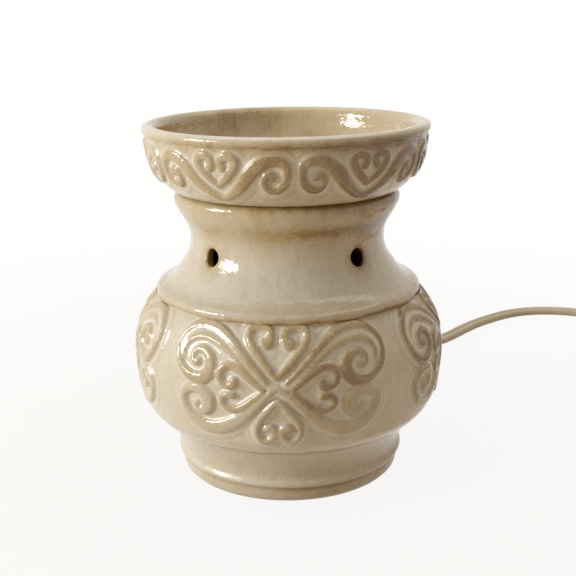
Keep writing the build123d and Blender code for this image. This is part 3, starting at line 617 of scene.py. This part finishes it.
class Finish:
    """A material with its node tree and one Principled shader."""

    def __init__(self, name):
        self.material = bpy.data.materials.new(name)
        self.material.use_nodes = True
        self.tree = self.material.node_tree
        self.shader = self.tree.nodes["Principled BSDF"]
        coordinates = self.add("ShaderNodeTexCoord")
        self.place = coordinates.outputs["Object"]

    def add(self, kind, settings=None, **values):
        """A new node, with its settings and the values of its inputs."""
        node = self.tree.nodes.new(kind)
        for name, value in (settings or {}).items():
            setattr(node, name, value)
        for name, value in values.items():
            self.put(node.inputs[name.replace("_", " ")], value)
        return node

    def put(self, socket, value):
        """Links a socket to an input, or gives it a value."""
        if isinstance(value, bpy.types.NodeSocket):
            self.tree.links.new(value, socket)
        elif isinstance(value, (tuple, list, bpy.types.bpy_prop_array)) and socket.type == "RGBA":
            socket.default_value = (*value[:3], 1)
        else:
            socket.default_value = value

    def shade(self, **values):
        """Sets inputs of the Principled shader."""
        for name, value in values.items():
            self.put(self.shader.inputs[name.replace("_", " ")], value)

    def noise(self, scale, detail=3.0, roughness=0.55, vector=None):
        """Noise on Object coordinates, or on a vector."""
        node = self.add("ShaderNodeTexNoise", Scale=scale, Detail=detail, Roughness=roughness)
        self.put(node.inputs["Vector"], vector or self.place)
        return node.outputs["Fac"]

    def stretched(self, scale):
        """Object coordinates scaled along each axis."""
        node = self.add("ShaderNodeMapping", Vector=self.place)
        node.inputs["Scale"].default_value = scale
        return node.outputs["Vector"]

    def attribute(self, name):
        """A value that the mesh keeps at each vertex."""
        return self.add("ShaderNodeAttribute", {"attribute_name": name}).outputs["Fac"]

    def ranged(self, value, low, high, to_low=0.0, to_high=1.0, smooth=False):
        """A value carried from one range to another."""
        kind = "SMOOTHSTEP" if smooth else "LINEAR"
        node = self.add("ShaderNodeMapRange", {"interpolation_type": kind}, Value=value)
        limits = {"From Min": low, "From Max": high, "To Min": to_low, "To Max": to_high}
        for name, number in limits.items():
            node.inputs[name].default_value = number
        return node.outputs["Result"]

    def combine(self, kind, first, second):
        """Two values put together by an operation."""
        node = self.add("ShaderNodeMath", {"operation": kind})
        self.put(node.inputs[0], first)
        self.put(node.inputs[1], second)
        return node.outputs[0]

    def mix(self, share, first, second):
        """Two colours mixed by a share of the second."""
        node = self.add("ShaderNodeMix", {"data_type": "RGBA"})
        self.put(node.inputs[0], share)
        self.put(node.inputs[6], first)
        self.put(node.inputs[7], second)
        return node.outputs[2]

    def bump(self, height, distance, strength=1.0, normal=None):
        """A skin raised by a height, on top of another skin."""
        node = self.add("ShaderNodeBump", Height=height, Distance=distance, Strength=strength)
        if normal:
            self.put(node.inputs["Normal"], normal)
        return node.outputs["Normal"]


def toned(tone, share):
    """A colour made lighter or darker by a share."""
    return tuple(min(1.0, max(0.0, value * share)) for value in tone)


def glaze_finish(name):
    """Glossy cream glaze that breaks to tan on strands, rims and edges, with painted shade on its right
    side, on down-facing bands and in the vents.
    """
    tones = colours()
    finish = Finish(name)
    place = finish.add("ShaderNodeSeparateXYZ", Vector=finish.place)
    edge = finish.attribute("strand_edge")
    grain = finish.noise(1300.0, 3.0, 0.7)
    cloud = finish.noise(55.0, 4.0)
    broad = finish.noise(16.0, 3.0)
    drip = finish.noise(1.0, 3.0, vector=finish.stretched((230.0, 230.0, 60.0)))

    # Where the glaze thins to tan: strands and their edges and rims; and painted shade: a line at
    # each strand's edge, shaded bands kept at each vertex, and the right side, away from the key lamp
    top = finish.ranged(edge, 0.15, -0.7, smooth=True)
    # Partly painted shade: a dark line along each strand's edge, where it meets the ground
    line = finish.ranged(edge, 0.45, 0.1, smooth=True)
    line = finish.combine("MULTIPLY", line, finish.ranged(edge, -0.5, -0.05, smooth=True))
    # Painted shade: browner towards the right, away from the key lamp, and paler on the lit left
    side_shade = finish.ranged(place.outputs["X"], SIDE_SHADE_LEFT, SIDE_SHADE_RIGHT, 0.4, 1.15)
    patch = finish.combine("MULTIPLY", finish.ranged(cloud, 0.32, 0.6, 0.7, 1.08), side_shade)
    thin_and_shade = finish.combine("MULTIPLY", top, finish.attribute("strand_tan"))
    thin_and_shade = finish.combine("ADD", thin_and_shade, finish.combine("MULTIPLY", line, 0.25))
    # The shares kept at each vertex hold glaze breaks and painted shade: down-facing bands, the linings'
    # shaded side and the vents
    thin_and_shade = finish.combine("MAXIMUM", thin_and_shade, finish.attribute("glaze_break_and_shade"))
    thin_and_shade = finish.combine("MULTIPLY", thin_and_shade, patch)
    for veil in (
        finish.ranged(drip, 0.5, 0.72, 0.0, 0.14),
        finish.ranged(broad, 0.4, 0.65, 0.0, 0.16),
        finish.ranged(grain, 0.35, 0.68, -0.1, 0.17),
    ):
        thin_and_shade = finish.combine("ADD", thin_and_shade, veil)

    # Colours from pooled to thinnest glaze, and above that the painted shadow, near black, on the vents'
    # rounded edges and bores
    near, off = finish.ranged(edge, 0.1, 0.5, smooth=True), finish.ranged(edge, 1.7, 0.7, smooth=True)
    pool = finish.combine("MULTIPLY", finish.combine("MULTIPLY", near, off), 0.9)
    brown = tuple(tones.glaze_brown)
    cream = finish.mix(pool, tuple(tones.glaze_cream), tuple(tones.glaze_pale))
    tan_tone = finish.mix(finish.ranged(thin_and_shade, 0.7, 1.0), tuple(tones.glaze_tan), brown)
    base = finish.mix(finish.ranged(thin_and_shade, 0.0, 0.85), cream, tan_tone)
    # Painted shadow: shares past 1.25 turn the vents' rounded edges and bores near black
    base = finish.mix(finish.ranged(thin_and_shade, 1.25, 1.6), base, toned(brown, 0.12))

    # Skin: slow waves, orange peel and grain, drier near the foot
    skin = finish.bump(finish.noise(130.0, 2.0), distance=0.0005, strength=0.5)
    skin = finish.bump(finish.noise(300.0, 2.0), distance=0.0003, strength=0.8, normal=skin)
    skin = finish.bump(grain, distance=0.00005, strength=0.4, normal=skin)
    dry = finish.ranged(place.outputs["Z"], DRY_TOP, 0.0, 0.0, 0.22)
    rough = finish.ranged(finish.noise(300.0, 3.0), 0.3, 0.7, 0.08, 0.17)
    rough = finish.combine("ADD", rough, dry)
    finish.shade(Base_Color=base, Roughness=rough, Normal=skin, IOR=1.54)
    return finish.material


def plain_finish(name, tone, roughness, metal=0.0, grain=900.0, depth=0.00004, variation=0.12):
    """Plastic, rubber or plated metal: its tone, roughness and skin vary a little."""
    finish = Finish(name)
    cloud = finish.noise(120.0, 4.0)
    fine = finish.noise(grain, 3.0)
    low, high = toned(tone, 1 - variation), toned(tone, 1 + variation)
    base = finish.mix(finish.ranged(cloud, 0.3, 0.7), low, high)
    rough = finish.ranged(fine, 0.25, 0.75, roughness * 0.8, min(1.0, roughness * 1.25))
    finish.shade(Base_Color=base, Roughness=rough, Normal=finish.bump(fine, depth, 0.4))
    finish.shader.inputs["Metallic"].default_value = metal
    return finish.material


def brushed_finish(name, tone, roughness, lines=(60.0, 60.0, 2400.0)):
    """Rolled or turned metal with fine lines round its axis."""
    finish = Finish(name)
    streak = finish.noise(1.0, 4.0, vector=finish.stretched(lines))
    cloud = finish.noise(150.0, 3.0)
    base = finish.mix(finish.ranged(cloud, 0.3, 0.7), toned(tone, 0.85), toned(tone, 1.08))
    rough = finish.ranged(streak, 0.3, 0.7, roughness * 0.75, roughness * 1.3)
    finish.shade(Base_Color=base, Roughness=rough, Normal=finish.bump(streak, 0.00003, 0.3))
    finish.shader.inputs["Metallic"].default_value = 1.0
    return finish.material


def glass_finish(name):
    """Clear bulb glass with faint waves."""
    finish = Finish(name)
    rough = finish.ranged(finish.noise(200.0), 0.3, 0.7, 0.0, 0.03)
    finish.shade(Roughness=rough, Normal=finish.bump(finish.noise(60.0, 1.0), 0.0002, 0.1))
    finish.shader.inputs["Base Color"].default_value = (1, 1, 1, 1)
    finish.shader.inputs["Transmission Weight"].default_value = 1.0
    finish.shader.inputs["IOR"].default_value = 1.45
    return finish.material


def paint(piece, material):
    """Gives a piece its one material."""
    piece.data.materials.clear()
    piece.data.materials.append(material)


# Meshes


def finished(mesh, name, body, material):
    """Makes a bmesh a piece that rides on a body."""
    data = bpy.data.meshes.new(name)
    mesh.to_mesh(data)
    mesh.free()
    piece = bpy.data.objects.new(name, data)
    bpy.context.scene.collection.objects.link(piece)
    data.shade_smooth()
    paint(piece, material)
    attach(piece, body)
    return piece


def smooth_line(points, step):
    """Points about a step apart on a smooth curve through the given ones, of any dimension."""
    spots = np.array(points, float)
    padded = np.vstack([2 * spots[0] - spots[1], spots, 2 * spots[-1] - spots[-2]])
    line = []
    for index in range(1, len(padded) - 2):
        before, here, there, after = padded[index - 1 : index + 3]
        count = max(1, int(np.linalg.norm((there - here)[:2]) / step))
        for part in np.arange(count) / count:
            line.append(
                0.5
                * (
                    2 * here
                    + (there - before) * part
                    + (2 * before - 5 * here + 4 * there - after) * part**2
                    + (3 * here - before - 3 * there + after) * part**3
                )
            )
    line.append(padded[-2])
    return np.array(line)


def lathe(outline, columns, closed, sectors=10):
    """Spins an outline of radius and height, in millimetres, about the axis."""
    mesh = bmesh.new()
    spots = [mesh.verts.new((0, -radius * MM, height * MM)) for radius, height in outline]
    lines = [mesh.edges.new(pair) for pair in zip(spots, spots[1:])]
    if closed:
        lines.append(mesh.edges.new((spots[-1], spots[0])))
    turn = {"cent": (0, 0, 0), "axis": (0, 0, 1)}
    sector = 2 * pi / sectors
    bmesh.ops.spin(mesh, geom=spots + lines, angle=sector, steps=columns // sectors, **turn)
    whole = [*mesh.verts, *mesh.edges, *mesh.faces]
    bmesh.ops.spin(
        mesh, geom=whole, angle=2 * pi - sector, steps=sectors - 1, use_duplicate=True, **turn
    )
    bmesh.ops.remove_doubles(mesh, verts=mesh.verts, dist=MM / 1000)
    bmesh.ops.recalc_face_normals(mesh, faces=mesh.faces)
    return mesh


def strand_line(table, middle, radius):
    """A strand as a fine line: its distance round the piece, height and half width."""
    points = [(radians(angle - middle) * radius, level, half) for angle, level, half in table]
    return smooth_line(points, STRAND_STEP)


def mirrored(strands, middle):
    """The strands with their mirror images about the pattern's middle."""
    return strands + [
        ([(2 * middle - angle, level, half) for angle, level, half in table], tan_share, rise)
        for table, tan_share, rise in strands
    ]


def strand_section(along, heights, line):
    """How far points lie from a strand's edge, negative inside it, and how high it is there."""
    away = np.hypot(along[:, None] - line[None, :, 0], heights[:, None] - line[None, :, 1])
    beyond = away - line[None, :, 2]
    best = beyond.argmin(1)
    rows = np.arange(len(along))
    distance, half = beyond[rows, best], line[best, 2]
    across = np.clip(away[rows, best] / half, 0, 1)
    crown = (1 - across**3) ** CROWN_POWER * np.clip(half / CROWN_HALF_WIDTH, CROWN_LEAST, CROWN_MOST)
    foot = FOOT_RISE * np.exp(-np.clip(distance, 0, None) / FOOT_WIDTH)
    return distance, np.where(distance < 0, FOOT_RISE + (1 - FOOT_RISE) * crown, foot)


def relief(angles, heights, strands, middle, count, radius):
    """The distance to the nearest strand's edge, negative inside it, its tan share and the rise."""
    repeat = 2 * pi / count
    along = (((angles - radians(middle)) + repeat / 2) % repeat - repeat / 2) * radius
    edge = np.full(len(angles), FAR_EDGE)
    tone = np.zeros(len(angles))
    rise = np.zeros(len(angles))
    for table, tan_share, full_rise in strands:
        line = strand_line(table, middle, radius)
        for shift in (-repeat * radius, 0, repeat * radius):
            spots = line + (shift, 0, 0)
            near = np.nonzero(
                (along > spots[:, 0].min() - STRAND_REACH)
                & (along < spots[:, 0].max() + STRAND_REACH)
                & (heights > spots[:, 1].min() - STRAND_REACH)
                & (heights < spots[:, 1].max() + STRAND_REACH)
            )[0]
            for part in np.array_split(near, max(1, len(near) // CHUNK)):
                distance, height = strand_section(along[part], heights[part], spots)
                rise[part] = np.maximum(rise[part], full_rise * height)
                if tan_share:
                    closer = distance < edge[part]
                    edge[part] = np.where(closer, distance, edge[part])
                    tone[part] = np.where(closer, tan_share, tone[part])
    cushion = np.clip((CUSHION_END - edge) / CUSHION_SLOPE, 0, 1)
    return edge, tone, rise + CUSHION_RISE * cushion**2 * (3 - 2 * cushion)


def raise_relief(mesh, strands, middle, count, radius, height, low, high, breaks, lining):
    """Moves a lathed mesh's outer vertices out by the relief, and keeps what its glaze needs."""
    mesh.verts.ensure_lookup_table()
    mesh.normal_update()
    spots = np.array([v.co for v in mesh.verts])
    ways = np.array([v.normal for v in mesh.verts])
    reach = np.hypot(spots[:, 0], spots[:, 1]) + MM / 1000
    outward = (ways[:, 0] * spots[:, 0] + ways[:, 1] * spots[:, 1]) > 0
    outward &= reach > WALL_SHARE * reach.max()
    level = spots[:, 2] / MM
    chosen = np.nonzero(outward & (level > low) & (level < high))[0]
    angles = np.arctan2(spots[chosen, 0], -spots[chosen, 1])
    edge, tone, rise = relief(angles, level[chosen], strands, middle, count, radius)
    edge_layer = mesh.verts.layers.float.new("strand_edge")
    tone_layer = mesh.verts.layers.float.new("strand_tan")
    break_and_shade_layer = mesh.verts.layers.float.new("glaze_break_and_shade")
    # Painted shade: the linings turn browner on the left, where the inside wall faces away from the key
    # lamp
    lining_and_shade = lining * (1 - LINING_SHADE_FADE * spots[:, 0] / reach)
    shares = np.where(outward, np.interp(level, *zip(*breaks)), lining_and_shade)
    for vertex, share in zip(mesh.verts, shares):
        vertex[edge_layer] = FAR_EDGE
        vertex[break_and_shade_layer] = share
    for index, gap, tan_share, share in zip(chosen, edge, tone, rise):
        vertex = mesh.verts[index]
        vertex[edge_layer] = gap
        vertex[tone_layer] = tan_share
        vertex.co += Vector(ways[index]) * height * share


def outline_radius(outline):
    """The outline's radius at a height, both in metres."""
    rows = sorted((height * MM, radius * MM) for radius, height in outline)
    levels, radii = zip(*rows)
    return lambda height: float(np.interp(height, levels, radii))


def vent_rings(radius):
    """A vent's rings: its rounded outer edge, and the two where its bore ends inside, with the tones that
    paint their shade.
    """
    outer = []
    for step in range(VENT_STEPS + 1):
        turn = radians(90 * step / VENT_STEPS)
        # Painted shade: past the brown rim the tone climbs over the rounded edge, darkening it into the
        # bore
        tone = VENT_RIM_TONE + VENT_EDGE_SHADE * turn**2
        outer.append((radius + VENT_EDGE * (1 - sin(turn)), tone, VENT_EDGE * (1 - cos(turn)), inf))
    return outer, [(radius + VENT_EDGE, VENT_BORE_SHADOW, 0, inf), (radius, VENT_BORE_SHADOW, -VENT_EDGE, inf)]


def open_edges(faces):
    """The edges round a patch of faces."""
    counts = {}
    for face in faces:
        for edge in face.edges:
            counts[edge] = counts.get(edge, 0) + 1
    return [edge for edge, count in counts.items() if count == 1]


def open_hole(mesh, theta, height, cut, outer_rings, inner_rings, outer_radius, inner_radius):
    """Opens a round hole through the wall: the grid round it is drawn in by rings of edges."""
    out = Vector((sin(theta), -cos(theta), 0))
    side = Vector((cos(theta), sin(theta), 0))
    edge_layer = mesh.verts.layers.float["strand_edge"]
    break_and_shade_layer = mesh.verts.layers.float["glaze_break_and_shade"]
    blush = BLUSH_REACH * cut
    skins = {1: [], -1: []}
    for face in mesh.faces:
        middle = face.calc_center_median()
        if abs(middle.z - height) > 2 * cut or middle.dot(out) < 0:
            continue
        away = sqrt(middle.dot(side) ** 2 + (middle.z - height) ** 2)
        if away < cut:
            skins[1 if face.normal.dot(out) > 0 else -1].append(face)
        elif away < blush:
            share = BLUSH_SHARE * (blush - away) / (blush - cut)
            for vertex in face.verts:
                vertex[break_and_shade_layer] = max(vertex[break_and_shade_layer], share)
    loops = [open_edges(faces) for faces in skins.values()]
    bmesh.ops.delete(mesh, geom=skins[1] + skins[-1], context="FACES")
    ends = []
    for loop, rings, wall_radius in zip(loops, (outer_rings, inner_rings), (outer_radius, inner_radius)):
        for ring_radius, tone, depth, farthest in rings:
            grown = bmesh.ops.extrude_edge_only(mesh, edges=loop)["geom"]
            loop = [item for item in grown if isinstance(item, bmesh.types.BMEdge)]
            for vertex in (item for item in grown if isinstance(item, bmesh.types.BMVert)):
                turn = atan2(vertex.co.z - height, vertex.co.dot(side))
                across, level = ring_radius * cos(turn), height + ring_radius * sin(turn)
                surface = sqrt(wall_radius(level) ** 2 - across**2)
                place = min(surface, farthest) - depth
                vertex.co = side * across + out * place + Vector((0, 0, level))
                vertex[edge_layer] = FAR_EDGE
                # For the vents this tone also carries painted shade on the edge and painted shadow in the
                # bore
                vertex[break_and_shade_layer] = tone
        ends.extend(loop)
    bmesh.ops.bridge_loops(mesh, edges=ends)


# Operators, one for each piece or group of pieces


class WARMER_OT_camera(bpy.types.Operator):
    """Sets up the camera at the photograph's viewing angle"""

    bl_idname = "warmer.camera"
    bl_label = "Camera"

    def execute(self, context):
        data = bpy.data.cameras.new("view_camera")
        data.sensor_width = CAMERA_SENSOR
        data.lens = CAMERA_LENS
        data.clip_start = CAMERA_NEAR
        camera = bpy.data.objects.new("view_camera", data)
        camera.matrix_world = (
            Matrix.Translation(CAMERA_PLACE)
            @ Euler((radians(90 - CAMERA_TILT), 0, 0)).to_matrix().to_4x4()
            @ Matrix.Rotation(radians(CAMERA_ROLL), 4, "Z")
        )
        context.scene.collection.objects.link(camera)
        context.scene.camera = camera
        return {"FINISHED"}


def lead_profile(width, thickness):
    """The flat twin lead's section: two round wires side by side with a groove between them."""
    profile = bpy.data.curves.new("lead_profile", "CURVE")
    profile.dimensions = "2D"
    spline = profile.splines.new("POLY")
    wire = thickness / 2
    centre = width / 2 - wire
    opening = degrees(atan2(wire * WEB_SHARE, wire * GROOVE_SHARE))
    spots = []
    for way in (1, -1):
        for step in range(WIRE_STEPS + 1):
            turn = radians(-180 + opening + (360 - 2 * opening) * step / WIRE_STEPS)
            spots.append((way * (centre + wire * cos(turn)), way * wire * sin(turn)))
    spline.points.add(len(spots) - 1)
    for point, (across, up) in zip(spline.points, spots):
        point.co = (across, up, 0, 1)
    spline.use_cyclic_u = True
    piece = bpy.data.objects.new("lead_profile", profile)
    bpy.context.scene.collection.objects.link(piece)
    return piece


def lead_piece(name, route, material):
    """Sweeps the lead's section along a smooth spline, and gives the piece and the line it follows."""
    data = bpy.data.curves.new(name, "CURVE")
    data.dimensions = "3D"
    data.twist_mode = "Z_UP"
    spline = data.splines.new("NURBS")
    spline.points.add(len(route) - 1)
    for point, place in zip(spline.points, route):
        point.co = (*(value * MM for value in place), 1)
    spline.order_u = 3
    spline.use_endpoint_u = True
    spline.resolution_u = 6
    curve = bpy.data.objects.new(name + "_line", data)
    bpy.context.scene.collection.objects.link(curve)
    bpy.context.view_layer.update()
    line = bpy.data.meshes.new_from_object(curve)
    path = [tuple(v.co) for v in line.vertices]
    profile = lead_profile(sizes().lead_width, sizes().lead_thickness)
    data.bevel_mode = "OBJECT"
    data.bevel_object = profile
    data.use_fill_caps = True
    bpy.context.view_layer.update()
    shape = bpy.data.meshes.new_from_object(curve.evaluated_get(bpy.context.evaluated_depsgraph_get()))
    mesh = bmesh.new()
    mesh.from_mesh(shape)
    bmesh.ops.remove_doubles(mesh, verts=mesh.verts, dist=MM / 100)
    bmesh.ops.recalc_face_normals(mesh, faces=mesh.faces)
    for scrap in (curve, profile):
        bpy.data.objects.remove(scrap)
    bpy.data.meshes.remove(line)
    bpy.data.meshes.remove(shape)
    return finished(mesh, name, BODY, material), path


def coil_route():
    """The coil's control points: inwards on the table, up a layer, and outwards on top."""
    width, thickness = sizes().lead_width / MM, sizes().lead_thickness / MM
    pitch, layer = thickness + COIL_GAP, width + LAYER_GAP
    quarters = 4 * COIL_TURNS
    inward = (quarters - CLIMB_QUARTERS) // 2
    start_x, start_y, start_z = TAIL_ROUTE[-1]
    reach = COIL_RADIUS
    middle_x, middle_y = start_x - reach, start_y - width
    route = [(start_x, start_y - width / 2, start_z)]
    for quarter in range(quarters):
        for part in range(QUARTER_PARTS):
            passed = quarter + (part + 0.5) / QUARTER_PARTS
            turn = radians(-90 * passed)
            climbed = min(max((passed - inward) / CLIMB_QUARTERS, 0), 1)
            apex = reach / cos(radians(45 / QUARTER_PARTS))
            spot = (middle_x + apex * cos(turn), middle_y + apex * sin(turn), start_z + layer * climbed)
            route.append(spot)
        change = 0
        if quarter < inward:
            change = -pitch / 4
        elif inward + CLIMB_QUARTERS - 1 <= quarter < quarters - 1:
            change = pitch / 4
        turn = radians(-90 * (quarter + 1))
        middle_x -= change * cos(turn)
        middle_y -= change * sin(turn)
        reach += change
    for past in (0.5, 1.5):
        route.append((middle_x + reach, middle_y - past * width, start_z + layer))
    return route


class WARMER_OT_lead(bpy.types.Operator):
    """Builds the flat twin lead, from the sleeve through the switch to the coil and the plug"""

    bl_idname = "warmer.lead"
    bl_label = "Lead"

    def execute(self, context):
        vinyl = plain_finish("lead_vinyl", tuple(colours().lead_tan), 0.38, grain=1400.0, variation=0.07)
        lead, path = lead_piece("flat_lead", LEAD_ROUTE, vinyl)
        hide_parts("cord_lead")
        tail, path = lead_piece("flat_lead_coil", TAIL_ROUTE + coil_route(), vinyl)
        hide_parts("cord_tail", "cord_coil")
        return {"FINISHED"}


class WARMER_OT_body(bpy.types.Operator):
    """Builds the glazed body with its relief panels, vents and cord hole"""

    bl_idname = "warmer.body"
    bl_label = "Glazed body"

    def execute(self, context):
        wall = []
        for points, step in BODY_WALL:
            wall.extend(smooth_line(points, step)[min(len(wall), 1) :])
        lip = smooth_line(BODY_LIP, BODY_LIP_STEP)
        inside = smooth_line(BODY_INSIDE, BODY_INSIDE_STEP)
        outline = [BODY_FOOT[0], *wall, *lip, *inside, *BODY_LEDGE]
        mesh = lathe(outline, sizes().body_columns, closed=True)
        raise_relief(
            mesh,
            mirrored(PANEL_STRANDS, PANEL_MIDDLE),
            PANEL_MIDDLE,
            PANEL_COUNT,
            PANEL_RADIUS,
            sizes().body_relief,
            PANEL_LOW,
            PANEL_HIGH,
            BODY_BREAKS,
            BODY_LINING,
        )
        faces = outline_radius(wall), outline_radius(inside)
        radius = sizes().vent_radius
        rings = vent_rings(radius)
        for index in range(PANEL_COUNT):
            theta = radians(VENT_START + 360 / PANEL_COUNT * index)
            open_hole(mesh, theta, VENT_HEIGHT, radius + VENT_MARGIN, *rings, *faces)
        rings = HOLE_RINGS, HOLE_INNER_RINGS
        open_hole(mesh, radians(HOLE_ANGLE), HOLE_HEIGHT, HOLE_CUT, *rings, *faces)
        bmesh.ops.recalc_face_normals(mesh, faces=mesh.faces)
        piece = finished(mesh, "glazed_body", BODY, glaze_finish("body_glaze"))
        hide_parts("warmer_body")
        return {"FINISHED"}


class WARMER_OT_dish(bpy.types.Operator):
    """Builds the glazed wax dish with its running scroll and hearts"""

    bl_idname = "warmer.dish"
    bl_label = "Glazed dish"

    def execute(self, context):
        wall = smooth_line(DISH_WALL, DISH_WALL_STEP)
        rim = smooth_line(DISH_RIM, DISH_RIM_STEP)
        inside = smooth_line(DISH_INSIDE, DISH_INSIDE_STEP)
        mesh = lathe([*DISH_UNDER, *wall, *rim, *inside], sizes().dish_columns, closed=False)
        raise_relief(
            mesh,
            mirrored(REPEAT_STRANDS, REPEAT_MIDDLE),
            REPEAT_MIDDLE,
            REPEAT_COUNT,
            REPEAT_RADIUS,
            sizes().dish_relief,
            REPEAT_LOW,
            REPEAT_HIGH,
            DISH_BREAKS,
            DISH_LINING,
        )
        piece = finished(mesh, "glazed_dish", DISH, glaze_finish("dish_glaze"))
        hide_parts("wax_dish")
        return {"FINISHED"}


class WARMER_OT_finishes(bpy.types.Operator):
    """Gives the base, the lamp holder, the bulb and the pieces on the lead their finishes"""

    bl_idname = "warmer.finishes"
    bl_label = "Finishes"

    def execute(self, context):
        tones = colours()
        steel, brass, aluminium = tuple(tones.steel), tuple(tones.brass), tuple(tones.aluminium)
        moulded = plain_finish("moulded_tan", tuple(tones.switch_tan), 0.32, variation=0.06)
        vinyl = bpy.data.materials["lead_vinyl"]
        zinc = brushed_finish("zinc_plate", steel, 0.32, PLATE_BRUSH)
        spring = brushed_finish("spring_steel", toned(steel, 0.85), 0.28)
        alloy = brushed_finish("rivet_alloy", aluminium, 0.35)
        yellow = brushed_finish("yellow_zinc", tuple(tones.yellow_zinc), 0.3)
        contact = brushed_finish("contact_brass", brass, 0.25)
        blade = brushed_finish("blade_brass", toned(brass, 1.05), 0.18, BLADE_BRUSH)
        glass = glass_finish("bulb_glass")
        wire = plain_finish("filament_wire", TUNGSTEN_GREY, 0.4, metal=1.0)
        finishes = {
            "base_plate": zinc,
            "spring_clips": spring,
            "clip_rivets": alloy,
            "rubber_feet": plain_finish("pad_rubber", tuple(tones.pad_grey), 0.85, grain=600.0),
            "mounting_nipple": yellow,
            "nipple_nut": yellow,
            "lampholder_body": plain_finish("holder_moulding", tuple(tones.holder_black), 0.35),
            "lampholder_shell": contact,
            "lampholder_contact": contact,
            "terminal_screws": contact,
            "bulb_globe": glass,
            "bulb_stem": glass,
            "bulb_cap": brushed_finish("cap_sheet", aluminium, 0.22),
            "bulb_insulator": plain_finish("cap_insulator", INSULATOR_BLACK, 0.15),
            "bulb_tip": plain_finish("solder", SOLDER_GREY, 0.4, metal=1.0, grain=500.0, depth=0.0002),
            "filament_wires": wire,
            "filament": wire,
            "strain_relief": vinyl,
            "inner_lead": vinyl,
            "cord_tie": plain_finish("tie_plastic", tuple(tones.tie_white), 0.45),
            "switch_lower": moulded,
            "switch_upper": moulded,
            "switch_wheel": plain_finish("wheel_plastic", tuple(tones.wheel_brown), 0.3),
            "switch_screws": alloy,
            "plug_body": moulded,
            "plug_blades": blade,
        }
        for name, material in finishes.items():
            paint(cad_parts[name], material)
        return {"FINISHED"}


def seen_ray(tree):
    """1 for the rays that show the white surroundings: the camera's, mirrored and passed ones."""
    ray = tree.nodes.new("ShaderNodeLightPath")
    seen = ray.outputs["Is Camera Ray"]
    for kind in ("Is Glossy Ray", "Is Transmission Ray"):
        either = tree.nodes.new("ShaderNodeMath")
        either.operation = "MAXIMUM"
        tree.links.new(seen, either.inputs[0])
        tree.links.new(ray.outputs[kind], either.inputs[1])
        seen = either.outputs[0]
    return seen


def paper_finish(name):
    """Pale paper that turns to plain white away from the object, and keeps its shadow."""
    finish = Finish(name)
    tree = finish.tree
    away = finish.add("ShaderNodeVectorMath", {"operation": "LENGTH"})
    finish.put(away.inputs[0], finish.place)
    share = finish.ranged(away.outputs["Value"], WHITE_START, WHITE_END, WHITE_LEAST, 1.0)
    glow = finish.add("ShaderNodeEmission", Color=STAGE_WHITE, Strength=1.0)
    cover = finish.add("ShaderNodeMixShader")
    finish.put(cover.inputs[0], finish.combine("MULTIPLY", seen_ray(tree), share))
    finish.put(cover.inputs[1], finish.shader.outputs[0])
    finish.put(cover.inputs[2], glow.outputs[0])
    finish.put(tree.nodes["Material Output"].inputs["Surface"], cover.outputs[0])
    tint = finish.mix(finish.ranged(finish.noise(30.0), 0.3, 0.7), FLOOR_LOW, FLOOR_HIGH)
    finish.shade(Base_Color=tint, Roughness=0.9)
    return finish.material


class WARMER_OT_stage(bpy.types.Operator):
    """Builds the pale floor, the white surroundings and the soft studio lamps"""

    bl_idname = "warmer.stage"
    bl_label = "Stage"

    def execute(self, context):
        mesh = bmesh.new()
        bmesh.ops.create_grid(mesh, x_segments=8, y_segments=8, size=FLOOR_SIZE)
        data = bpy.data.meshes.new("floor")
        mesh.to_mesh(data)
        mesh.free()
        floor = bpy.data.objects.new("floor", data)
        floor.location.z = -FLOOR_DROP
        context.scene.collection.objects.link(floor)
        paint(floor, paper_finish("floor_paper"))

        world = bpy.data.worlds.new("surroundings")
        world.use_nodes = True
        context.scene.world = world
        tree = world.node_tree
        tone = tree.nodes.new("ShaderNodeMix")
        tone.data_type = "RGBA"
        tone.inputs[6].default_value = (*SURROUNDINGS, 1)
        tone.inputs[7].default_value = (*STAGE_WHITE, 1)
        tree.links.new(seen_ray(tree), tone.inputs[0])
        tree.links.new(tone.outputs[2], tree.nodes["Background"].inputs["Color"])

        for name, place, size, power, tint in LAMPS:
            light = bpy.data.lights.new(name, "AREA")
            light.shape = "ELLIPSE"
            light.size, light.size_y = size
            light.energy = power
            light.color = tint
            lamp = bpy.data.objects.new(name, light)
            turn = (LAMP_AIM - Vector(place)).to_track_quat("-Z", "Y")
            lamp.matrix_world = Matrix.Translation(place) @ turn.to_matrix().to_4x4()
            context.scene.collection.objects.link(lamp)
        context.scene.view_settings.view_transform = "Standard"
        return {"FINISHED"}


class WARMER_PT_panel(bpy.types.Panel):
    """Lists the warmer's pieces, sizes and colours"""

    bl_label = "Wax melt warmer"
    bl_idname = "WARMER_PT_panel"
    bl_space_type = "VIEW_3D"
    bl_region_type = "UI"
    bl_category = "Warmer"

    def draw(self, context):
        for operator in OPERATORS:
            self.layout.operator(operator.bl_idname)
        for group in (context.scene.warmer_sizes, context.scene.warmer_colours):
            box = self.layout.box()
            for name in group.bl_rna.properties.keys():
                if name not in ("rna_type", "name"):
                    box.prop(group, name)


OPERATORS = (
    WARMER_OT_camera,
    WARMER_OT_lead,
    WARMER_OT_body,
    WARMER_OT_dish,
    WARMER_OT_finishes,
    WARMER_OT_stage,
)
GROUPS = (WarmerSizes, WarmerColours)


def register():
    for group in GROUPS + OPERATORS + (WARMER_PT_panel,):
        bpy.utils.register_class(group)
    bpy.types.Scene.warmer_sizes = PointerProperty(type=WarmerSizes)
    bpy.types.Scene.warmer_colours = PointerProperty(type=WarmerColours)


def unregister():
    del bpy.types.Scene.warmer_sizes
    del bpy.types.Scene.warmer_colours
    for group in reversed(GROUPS + OPERATORS + (WARMER_PT_panel,)):
        bpy.utils.unregister_class(group)


def main():
    """Builds every piece and the stage."""
    register()
    bpy.ops.warmer.camera()
    bpy.ops.warmer.lead()
    bpy.ops.warmer.body()
    bpy.ops.warmer.dish()
    bpy.ops.warmer.finishes()
    bpy.ops.warmer.stage()


if __name__ == "__main__":
    main()
